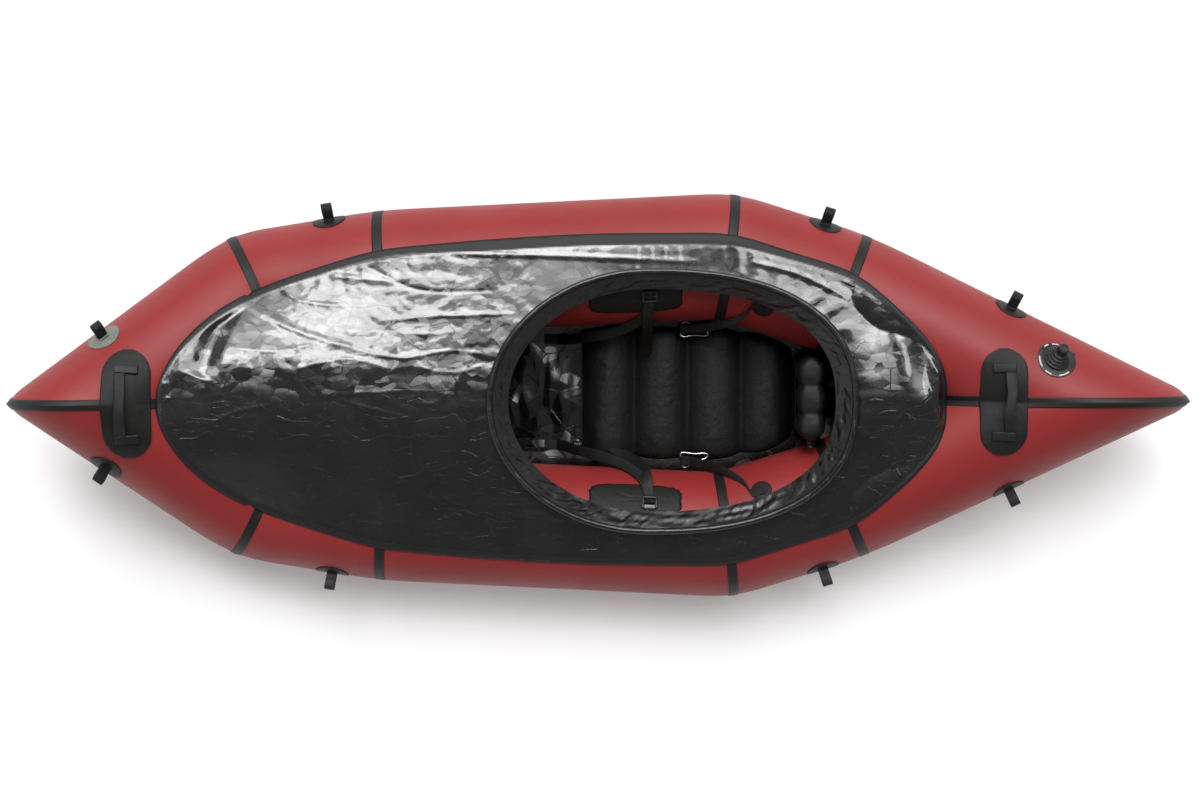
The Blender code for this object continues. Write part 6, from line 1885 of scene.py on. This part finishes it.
@dataclass
class MainValve:
    """The inflation valve: its welded ring, ribbed cone, plug cap and pull tab."""

    hull: HullShape
    base_radius: float = 0.030
    top_radius: float = 0.013
    height: float = 0.040
    ribs: int = 5
    bore: float = 0.0090
    throat: float = 0.0072
    spigot: float = 0.006
    cap_height: float = 0.010
    plug_reach: float = 0.006
    tab_reach: float = 0.0075
    poppet_depth: float = 0.014
    poppet_thickness: float = 0.0020
    poppet_travel: float = 0.003
    spring_wire: float = 0.0005
    spring_turns: int = 5
    spring_radius: float = 0.0055
    lean: float = radians(31.5)
    station_share: float = 0.917

    def station(self) -> float:
        """Return the valve's place along the raft."""
        start, end = self.hull.centres[4], self.hull.centres[5]
        return start.x + (end.x - start.x) * self.station_share

    def build(self) -> None:
        """Make the valve's pieces."""
        station = self.station()
        skin = self.hull.wall_frame(4, station, self.lean, 0.0, Side.STARBOARD)
        self.build_flange(station, skin)
        base = skin @ Matrix.Translation((0, 0, PATCH_LIFT + 2 * PATCH_THICKNESS + GAP))
        bm = lathe(self.cone(), base, 96, closed=True)
        publish("valve_nozzle_cone", bm, "black_rubber", replaces=["valve_nozzle"], smooth_angle=30)
        low, cap, plug = self.height + GAP, self.top_radius, self.throat - GAP
        top = low + self.cap_height
        bottom = low - self.plug_reach
        profile = [(0, bottom), (plug - 0.0006, bottom), (plug, low - 0.0052), (plug, low)]
        profile += [(cap - 0.0005, low), (cap, low + 0.0005), (cap, low + 0.0052), (cap * 0.96, low + 0.0072)]
        profile += [(cap * 0.86, top - 0.0006), (cap * 0.8, top), (cap * 0.55, top)]
        profile += [(cap * 0.5, top - 0.0009), (0, top - 0.0009)]
        lid = lathe(profile, base, 72)
        half = Vector((0.008, 0.0024, 0.0012))
        middle = Vector((cap + self.tab_reach, 0, low + self.cap_height * 0.35))
        lid = merged(lid, rounded_block(middle - half * 1.06, middle + half * 1.06, base, 0.0010, 4))
        publish("valve_cap_lid", lid, "black_rubber", "valve_cap", ["valve_cap"], smooth_angle=35)
        end = Vector((cap + 2 * self.tab_reach, 0, middle.z))
        tip = rounded_block(end - half * 0.55, end + Vector((0.0009, 0.0021, 0.0010)), base, 0.0006, 3)
        publish("valve_pull_tip", tip, "pale_print", "valve_cap")
        self.build_spring(base)

    def build_spring(self, base: Matrix) -> None:
        """Wind the poppet's spring as a fixed coil; the real spring shortens as the poppet is pressed."""
        low = -self.spigot * 0.8 + self.spring_wire + GAP
        top = self.height - self.poppet_depth - self.poppet_thickness - self.spring_wire - 2 * GAP
        count = self.spring_turns * 24
        points = []
        for k in range(count + 1):
            angle = TURN * self.spring_turns * k / count
            side = Vector((cos(angle), sin(angle), 0)) * self.spring_radius
            points.append(base @ (side + Vector((0, 0, low + (top - low) * k / count))))
        axis = base.col[2].xyz.normalized()
        bm = wire(points, self.spring_wire, 10, axis, False)
        coil = publish("valve_spring_coil", bm, "bright_wire", replaces=["valve_spring"])
        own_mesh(coil)

    def build_flange(self, station: float, skin: Matrix) -> None:
        """Make the welded ring, its raised rim and seat, and its plain printed arcs."""
        hole = self.bore + 2 * BLADDER_WALL + GAP
        steps = (
            (hole, 0.0019), (hole + 0.0005, 0.0022), (0.0318, 0.0022), (0.0322, 0.0014), (0.0345, 0.0014),
            (0.0352, 0.0019), (0.0375, 0.0019), (0.0382, 0.0013), (0.0432, 0.0012), (0.0449, 0.0004),
        )

        def place(u: float, v: float) -> Vector:
            """Return a point of the ring's upper face, fitted to the tube."""
            position = v * (len(steps) - 1)
            k = min(int(position), len(steps) - 2)
            near, far = steps[k], steps[k + 1]
            radius = near[0] + (far[0] - near[0]) * (position - k)
            rise = near[1] + (far[1] - near[1]) * (position - k)
            return self.fitted(station, TURN * u, radius, PATCH_LIFT + rise - 0.0006)

        bm = surface(96, 27, place, (TURN * 0.03, 0.03))
        publish(
            "valve_flange_ring", bm, "black_rubber", replaces=["valve_flange"],
            wall=Wall(0.0007, -1.0), outward=skin.col[2].xyz, smooth_angle=60,
        )
        arcs = []
        for start, turn in ((200.0, 38.0), (252.0, 26.0), (300.0, 36.0), (96.0, 30.0), (140.0, 22.0)):
            for k in range(int(turn / 6)):
                begin = radians(start + 6 * k)

                def dash(u: float, v: float, begin: float = begin) -> Vector:
                    """Return a point of one short printed dash."""
                    return self.fitted(station, begin + radians(5.3) * u, 0.0386 + 0.0034 * v, PATCH_LIFT + 0.00085)

                arcs.append(surface(5, 2, dash, (0.003, 0.0026)))
        publish("valve_print", merged(*arcs), "pale_print", wall=Wall(0.0001), outward=skin.col[2].xyz)

    def fitted(self, station: float, angle: float, radius: float, lift: float) -> Vector:
        """Return a point of a round shape that lies on the tube."""
        along, across = cos(angle) * radius, sin(angle) * radius
        turned = self.lean + asin(across / (TUBE_RADIUS + PATCH_LIFT))
        return self.hull.wall_frame(4, station, turned, lift, Side.STARBOARD) @ Vector((along, 0, 0))

    def cone(self) -> list[tuple[float, float]]:
        """Return the ribbed cone's profile, bored for the plug and the poppet."""
        ledge = self.height - 0.014
        outer = self.bore + 2 * BLADDER_WALL
        profile = [(self.throat, ledge), (self.bore, ledge), (self.bore, -0.0048), (0.0032, -0.0048)]
        profile += [(0.0032, -self.spigot), (outer, -self.spigot), (outer, 0.0), (self.base_radius, 0.0)]
        rise = self.height / self.ribs
        span = self.base_radius - self.top_radius
        for rib in range(self.ribs):
            radius = self.base_radius - span * rib / (self.ribs - 1)
            after = self.base_radius - span * min((rib + 1) / (self.ribs - 1), 1.0)
            groove = (radius + 2 * after) / 3
            for share, size in ((0.12, radius), (0.42, radius), (0.5, radius - 0.0007), (0.6, groove), (0.86, groove)):
                profile.append((size, rise * (rib + share)))
            profile.append((groove + 0.0003, rise * (rib + 0.95)))
        return profile + [(self.top_radius, self.height), (self.throat, self.height)]


@dataclass
class CockpitStraps:
    """Each side's anchor, ladder-lock, adjuster strap, rear strap and wire hook."""

    hull: HullShape
    anchor_station: float = 0.0675
    anchor_lean: float = radians(-37)
    anchor_half_length: float = 0.110
    anchor_half_drop: float = 0.042
    buckle_station: float = 0.101
    buckle_lean: float = radians(-33)
    buckle_length: float = 0.030
    rail: float = 0.0045
    bar: float = 0.0045
    buckle_thickness: float = 0.0035
    foot: float = 0.034
    floor_height: float = 0.0022
    rear_radius: float = 0.024
    rear_station: float = 0.3925
    rear_lean: float = radians(-38)
    rear_reach: tuple[float, float, float] = (-0.1558, -0.0592, -0.1645)
    fold: float = 0.030
    hook_wire: float = 0.0022
    hook_length: float = 0.06325
    hook_width: float = 0.014
    hook_shoulder: float = 0.006
    hook_way: tuple[float, float, float] = (0.9803, -0.1897, -0.0553)
    load_shares: tuple[tuple[float, float, float], ...] = (
        (-0.0272, 0.9368, 0.9572), (-0.0383, 0.8846, 0.9190), (-0.0913, 0.8139, 0.8422),
        (-0.2373, 0.7166, 0.7075), (-0.4408, 0.6502, 0.5765), (-0.6266, 0.6148, 0.4642),
        (-0.7858, 0.5883, 0.3182), (-0.8920, 0.5750, 0.1422), (-0.9627, 0.5706, 0.0299),
    )
    load_turns: tuple[tuple[float, float], ...] = (
        (1.0, 0.0), (1.0, -0.05), (0.95, -0.25), (0.8, -0.6), (0.45, -0.9), (0.2, -1.0), (0.1, -1.0),
        (0.0, -1.0), (0.0, -1.0),
    )
    starboard_tail: tuple[tuple[float, float, float], ...] = (
        (-0.0209, 0.9363, 0.9606), (-0.0209, 0.7913, 0.8516), (-0.0209, 0.6446, 0.6768),
        (-0.0165, 0.5113, 0.5058), (-0.0165, 0.3912, 0.3868),
    )
    port_tail: tuple[tuple[float, float, float], ...] = (
        (-0.0187, 0.9363, 0.9606), (-0.0298, 0.8002, 0.8590), (-0.0965, 0.7024, 0.6694),
        (-0.2477, 0.6313, 0.5058), (-0.4210, 0.5779, 0.3905),
    )

    def build(self) -> None:
        """Make both sides' straps."""
        for side in Side:
            self.build_anchor(side)
            self.build_adjuster(side)
            self.build_rear(side)

    def buckle_frame(self, side: Side) -> Matrix:
        """Return the frame that a ladder-lock lies in."""
        return self.hull.wall_frame(2, self.buckle_station, self.buckle_lean, ON_PATCH, side)

    def heights(self) -> tuple[float, float]:
        """Return how far a ladder-lock's underside and top stand off the patch."""
        low = NEAR_LAYER + LAYER + WEBBING_THICKNESS / 2 + LAYER_GAP
        return low, low + self.buckle_thickness

    def build_anchor(self, side: Side) -> None:
        """Make the anchor patch, its ladder-lock, and the keeper that holds it."""
        frame = self.buckle_frame(side)
        low, high = self.heights()
        half = STRAP_WIDTH / 2 + LAYER_GAP
        outer = half + self.rail
        patch = WallPatch(
            self.hull, 2, self.anchor_station, self.anchor_lean, self.anchor_half_length,
            self.anchor_half_drop, 4.0, 0.03,
        )
        patch.weld(f"strap_anchor_{side.label}_patch", f"strap_anchor_{side.label}", side)
        bars, top = [], self.buckle_length / 2
        slot = (self.buckle_length - 3 * self.bar) / 2
        for start in (-top, -top + self.bar + slot, top - self.bar):
            bars.append(rounded_block(
                Vector((-outer + 0.001, start, low)), Vector((outer - 0.001, start + self.bar, high)), frame, 0.0011,
            ))
        for across in (-1, 1):
            ends = sorted((across * half, across * outer))
            bars.append(rounded_block(
                Vector((ends[0], -top + 0.0003, low + 0.0002)), Vector((ends[1], top - 0.0003, high + 0.0002)),
                frame, 0.0013,
            ))
        publish(
            f"ladder_lock_{side.label}_frame", merged(*bars), "buckle_nylon",
            replaces=[f"ladder_lock_{side.label}"], smooth_angle=35,
        )
        clear = NEAR_LAYER
        inside = top - self.bar - clear
        arch = [
            (top + clear, 0.0), (top + clear, high), (top + clear * 0.75, high + clear * 0.75),
            (top, high + clear), (inside + clear, high + clear),
            (inside + clear * 0.25, high + clear * 0.75), (inside, high), (inside, 0.0),
        ]
        line = smooth_path([frame @ Vector((0, along, out)) for along, out in arch], 5)
        bm = webbing(line, [frame.col[0].xyz] * len(line), [STRAP_WIDTH] * len(line))
        look = "pale_webbing" if side is Side.PORT else "black_webbing"
        publish(f"strap_keeper_{side.label}", bm, look, smooth_angle=80)

    def way(self, mouth: Vector, shares: Sequence[tuple[float, float, float]], side: Side) -> list[Vector]:
        """Place a strap's way from its shares of the distances to a buckle's mouth."""
        aside = abs(mouth.y)
        return [Vector((mouth.x + aside * a, side.value * aside * b, mouth.z * c)) for a, b, c in shares]

    def build_adjuster(self, side: Side) -> None:
        """Run the adjuster strap from the floor, round the middle bar, to its tail."""
        frame = self.buckle_frame(side)
        _, high = self.heights()
        clear = near = NEAR_LAYER
        tail_layer = near + LAYER
        out = self.bar / 2 + clear
        mouths = [frame @ Vector((0, -self.buckle_length * 0.55, rise)) for rise in (near, tail_layer)]
        load = self.way(mouths[0], self.load_shares, side)
        flat = side.flip(Vector((0, -1, 0)))
        points = [
            Vector((load[-1].x - self.foot, load[-1].y, self.floor_height)),
            Vector((load[-1].x - clear * 4, load[-1].y, self.floor_height)),
        ]
        sides = [flat, flat]
        for point, (along, across) in list(zip(load, self.load_turns))[::-1]:
            points.append(point)
            sides.append(side.flip(Vector((along, across, 0))))
        wrap = [
            (-self.buckle_length * 0.55, near), (0.0, near), (out * 0.75, near + clear * 0.3),
            (out, near + LAYER * 0.6), (out, high), (out * 0.8, high + clear * 0.85), (0.0, high + clear),
            (-out * 0.8, high + clear * 0.85), (-out, high), (-out, tail_layer + LAYER * 0.5),
            (-out * 1.3, tail_layer + clear * 0.2), (-out * 1.9, tail_layer), (-self.buckle_length * 0.55, tail_layer),
        ]
        for along, outward in wrap:
            points.append(frame @ Vector((0, along, outward)))
            sides.append(frame.col[0].xyz)
        spread = (1.0, 0.0) if side is Side.STARBOARD else (0.78, -0.62)
        tail = self.starboard_tail if side is Side.STARBOARD else self.port_tail
        for number, point in enumerate(self.way(mouths[1], tail, side)):
            points.append(point)
            turned = Vector((1, 0, 0)).lerp(Vector((*spread, 0)), min(number / 2, 1.0))
            sides.append(side.flip(turned))
        line, turns = smooth_path(points, 6), smooth_path(sides, 6)
        widths = [STRAP_WIDTH] * (len(line) - 6)
        widths += [STRAP_WIDTH * (1 - 0.8 * ((k + 1) / 6) ** 2) for k in range(6)]
        bm = webbing(line, turns, widths, ripple=0.0003)
        publish(
            f"adjuster_strap_{side.label}_webbing", bm, "black_webbing",
            replaces=[f"adjuster_strap_{side.label}"], smooth_angle=80,
        )

    def build_rear(self, side: Side) -> None:
        """Make the rear strap on its patch, and the wire hook in its looped end."""
        name = f"rear_strap_{side.label}"
        frame = self.hull.wall_frame(3, self.rear_station, self.rear_lean, ON_PATCH, side)
        patch = WallPatch(self.hull, 3, self.rear_station, self.rear_lean, self.rear_radius, self.rear_radius)
        patch.weld(f"{name}_patch", name, side)
        leave = frame @ Vector((-self.rear_radius, 0, WEBBING_THICKNESS / 2))
        reach = side.flip(Vector(self.rear_reach))
        bar = leave + reach
        aft = side.flip(Vector(self.hook_way)).normalized()
        tip = bar + aft * self.hook_length
        axis = (tip - bar).cross(Vector((0, 0, 1))).normalized()
        axis = -axis if axis.dot(frame.col[1].xyz) < 0 else axis
        ways = ((0.127, 0.425, 0.152), (0.3965, 0.7635, 0.395), (0.679, 0.9325, 0.705))
        start = Vector((self.rear_radius * 0.2, 0, WEBBING_THICKNESS * 0.6))
        points = [frame @ start, frame @ Vector((-self.rear_radius * 0.4, 0, WEBBING_THICKNESS * 0.6)), leave]
        sides = [frame.col[1].xyz] * 3
        for number, shares in enumerate(ways):
            points.append(leave + Vector([share * part for share, part in zip(shares, reach)]))
            sides.append(frame.col[1].xyz.lerp(axis, (number + 1) / (len(ways) + 1)))
        ahead = (bar - points[-1]).normalized()
        up = axis.cross(ahead).normalized()
        up = -up if up.z < 0 else up
        clear = self.hook_wire + NEAR_LAYER
        pair = LAYER / 2
        far, mid, close, end = [self.fold * share for share in (-1.0, -0.667, -0.3, -0.933)]
        loop = [
            (far, pair), (mid, pair), (close, clear * 0.8), (0.0, clear), (clear * 0.75, clear * 0.75), (clear, 0.0),
            (clear * 0.75, -clear * 0.75), (0.0, -clear), (close, -clear * 0.8), (mid, -pair), (end, -pair),
        ]
        for along, out in loop:
            points.append(bar + ahead * along + up * out)
            sides.append(axis)
        line, turns = smooth_path(points, 6), smooth_path(sides, 6)
        bm = webbing(line, turns, [STRAP_WIDTH * 0.9] * len(line), ripple=0.0002)
        publish(f"{name}_webbing", bm, "black_webbing", smooth_angle=80)
        self.build_hook(side, bar, aft, axis)

    def build_hook(self, side: Side, bar: Vector, aft: Vector, axis: Vector) -> None:
        """Make the bent wire hook in the strap's loop."""
        wide, narrow = STRAP_WIDTH / 2 + self.hook_wire * 1.5, self.hook_width / 2
        corner, shoulder, length = wide + self.hook_wire * 0.9, self.hook_shoulder, self.hook_length
        half = [(shoulder, corner), (shoulder * 2.5, wide), (length * 0.55, narrow * 1.3), (length * 0.85, narrow)]
        half += [(length * 0.98, narrow * 0.5)]
        outline = [(0.0, -wide * 0.5), (0.0, 0.0), (0.0, wide * 0.5), (0.0, wide), *half, (length, 0.0)]
        outline += [(a, -b) for a, b in half[::-1]] + [(0.0, -wide)]
        centres = smooth_path([bar + aft * a + axis * b for a, b in outline], 6, closed=True)
        bm = wire(centres, self.hook_wire, 14, aft.cross(axis).normalized(), closed=True)
        publish(
            f"strap_hook_{side.label}_wire", bm, "bright_wire",
            replaces=[f"strap_hook_{side.label}"],
        )


# ---- Light, floor and camera


@dataclass
class Studio:
    """The pale floor, the soft light and the camera that looks down on the raft."""

    camera_place: tuple[float, float, float] = (-0.01, 0.3288, 4.9878)
    target: tuple[float, float, float] = (-0.01, -0.02, 0.0)
    lens: float = 61.35
    lamps: tuple[tuple[str, tuple[float, float, float], float, float], ...] = (
        ("key", (-0.08, 0.54, 0.84), 0.72, 20),
        ("bounce", (-0.06, 0.54, 0.84), 0.75, 36),
        ("side", (0.05, 0.74, 0.67), 1.00, 44),
        ("rear", (0.27, 0.36, 0.89), 0.85, 24),
        ("fill", (-0.75, -0.35, 0.56), 0.30, 60),
    )
    sky: float = 0.25
    floor_reach: float = 12.0
    floor_drop: float = 0.0005

    def build(self) -> None:
        """Set the stage."""
        self.build_floor()
        self.build_world()
        for name, way, power, width in self.lamps:
            light = bpy.data.lights.new(name, "SUN")
            light.energy, light.angle = power, radians(width)
            put(name, light).rotation_euler = Vector(way).to_track_quat("Z", "Y").to_euler()
        lens = bpy.data.cameras.new("camera")
        lens.lens, lens.sensor_width = self.lens, 36.0
        camera = put("camera", lens)
        camera.location = self.camera_place
        way = Vector(self.camera_place) - Vector(self.target)
        camera.rotation_euler = (-atan2(way.y, way.z), 0.0, 0.0)
        bpy.context.scene.camera = camera
        bpy.context.scene.view_settings.view_transform = "Standard"

    def build_floor(self) -> None:
        """Lay a wide white floor that keeps the raft's soft shadow."""
        bm = bmesh.new()
        bmesh.ops.create_grid(bm, x_segments=2, y_segments=2, size=self.floor_reach)
        mesh = bpy.data.meshes.new("studio_floor")
        bm.to_mesh(mesh)
        bm.free()
        paper = bpy.data.materials.new("white_paper")
        paper.use_nodes = True
        hand = Nodes(paper.node_tree)
        shader = paper.node_tree.nodes["Principled BSDF"]
        shader.inputs["Roughness"].default_value = 0.9
        shader.inputs["Specular IOR Level"].default_value = 0.1
        where = hand.add("ShaderNodeTexCoord")
        grain = hand.add("ShaderNodeTexNoise", Vector=where.outputs["Object"], Scale=2.0, Detail=2.0)
        tint = hand.blend(grain.outputs[0], (0.86, 0.86, 0.86, 1.0), (0.88, 0.88, 0.88, 1.0))
        paper.node_tree.links.new(tint, shader.inputs["Base Color"])
        path = hand.add("ShaderNodeLightPath")
        shader.inputs["Emission Color"].default_value = (1.0, 1.0, 1.0, 1.0)
        glow = hand.math("MULTIPLY", path.outputs["Is Camera Ray"], 0.15)
        paper.node_tree.links.new(glow, shader.inputs["Emission Strength"])
        mesh.materials.append(paper)
        floor = put("studio_floor", mesh)
        floor.location = (0, 0, -self.floor_drop)

    def build_world(self) -> None:
        """Make the sky: white to the camera, dim above, and brighter towards starboard."""
        world = bpy.data.worlds.new("studio")
        bpy.context.scene.world = world
        world.use_nodes = True
        hand = Nodes(world.node_tree)
        back = world.node_tree.nodes["Background"]
        where = hand.add("ShaderNodeTexCoord")
        split = hand.add("ShaderNodeSeparateXYZ", Vector=where.outputs["Generated"])
        aside = hand.ramp(split.outputs[1], -0.2, 0.8)
        level = hand.ramp(split.outputs[2], 0.9, 0.1)
        strength = hand.math("ADD", hand.math("MULTIPLY", aside, 0.18), self.sky * 0.6)
        strength = hand.math("ADD", strength, hand.math("MULTIPLY", level, 0.22))
        path = hand.add("ShaderNodeLightPath")
        white = hand.math("MAXIMUM", strength, path.outputs["Is Camera Ray"])
        back.inputs["Color"].default_value = (1.0, 1.0, 1.0, 1.0)
        world.node_tree.links.new(white, back.inputs["Strength"])


def main() -> None:
    """Build the raft's pieces in order, and set the stage."""
    logging.basicConfig(level=logging.INFO, format="%(name)s: %(message)s")
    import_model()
    build_finishes()
    hull = HullShape()
    ring = CockpitRing(hull)
    for assembly in (
        AirTubes(hull), RaftFloor(hull), SprayDeck(hull, ring), Coaming(ring), Seat(), TieDowns(hull),
        GrabHandles(hull), MainValve(hull), CockpitStraps(hull),
    ):
        LOG.info("building %s", type(assembly).__name__)
        assembly.build()
    poppet = bpy.data.objects["valve_poppet"].data.materials
    poppet.clear()
    poppet.append(bpy.data.materials["black_rubber"])
    Studio().build()


if __name__ == "__main__":
    main()
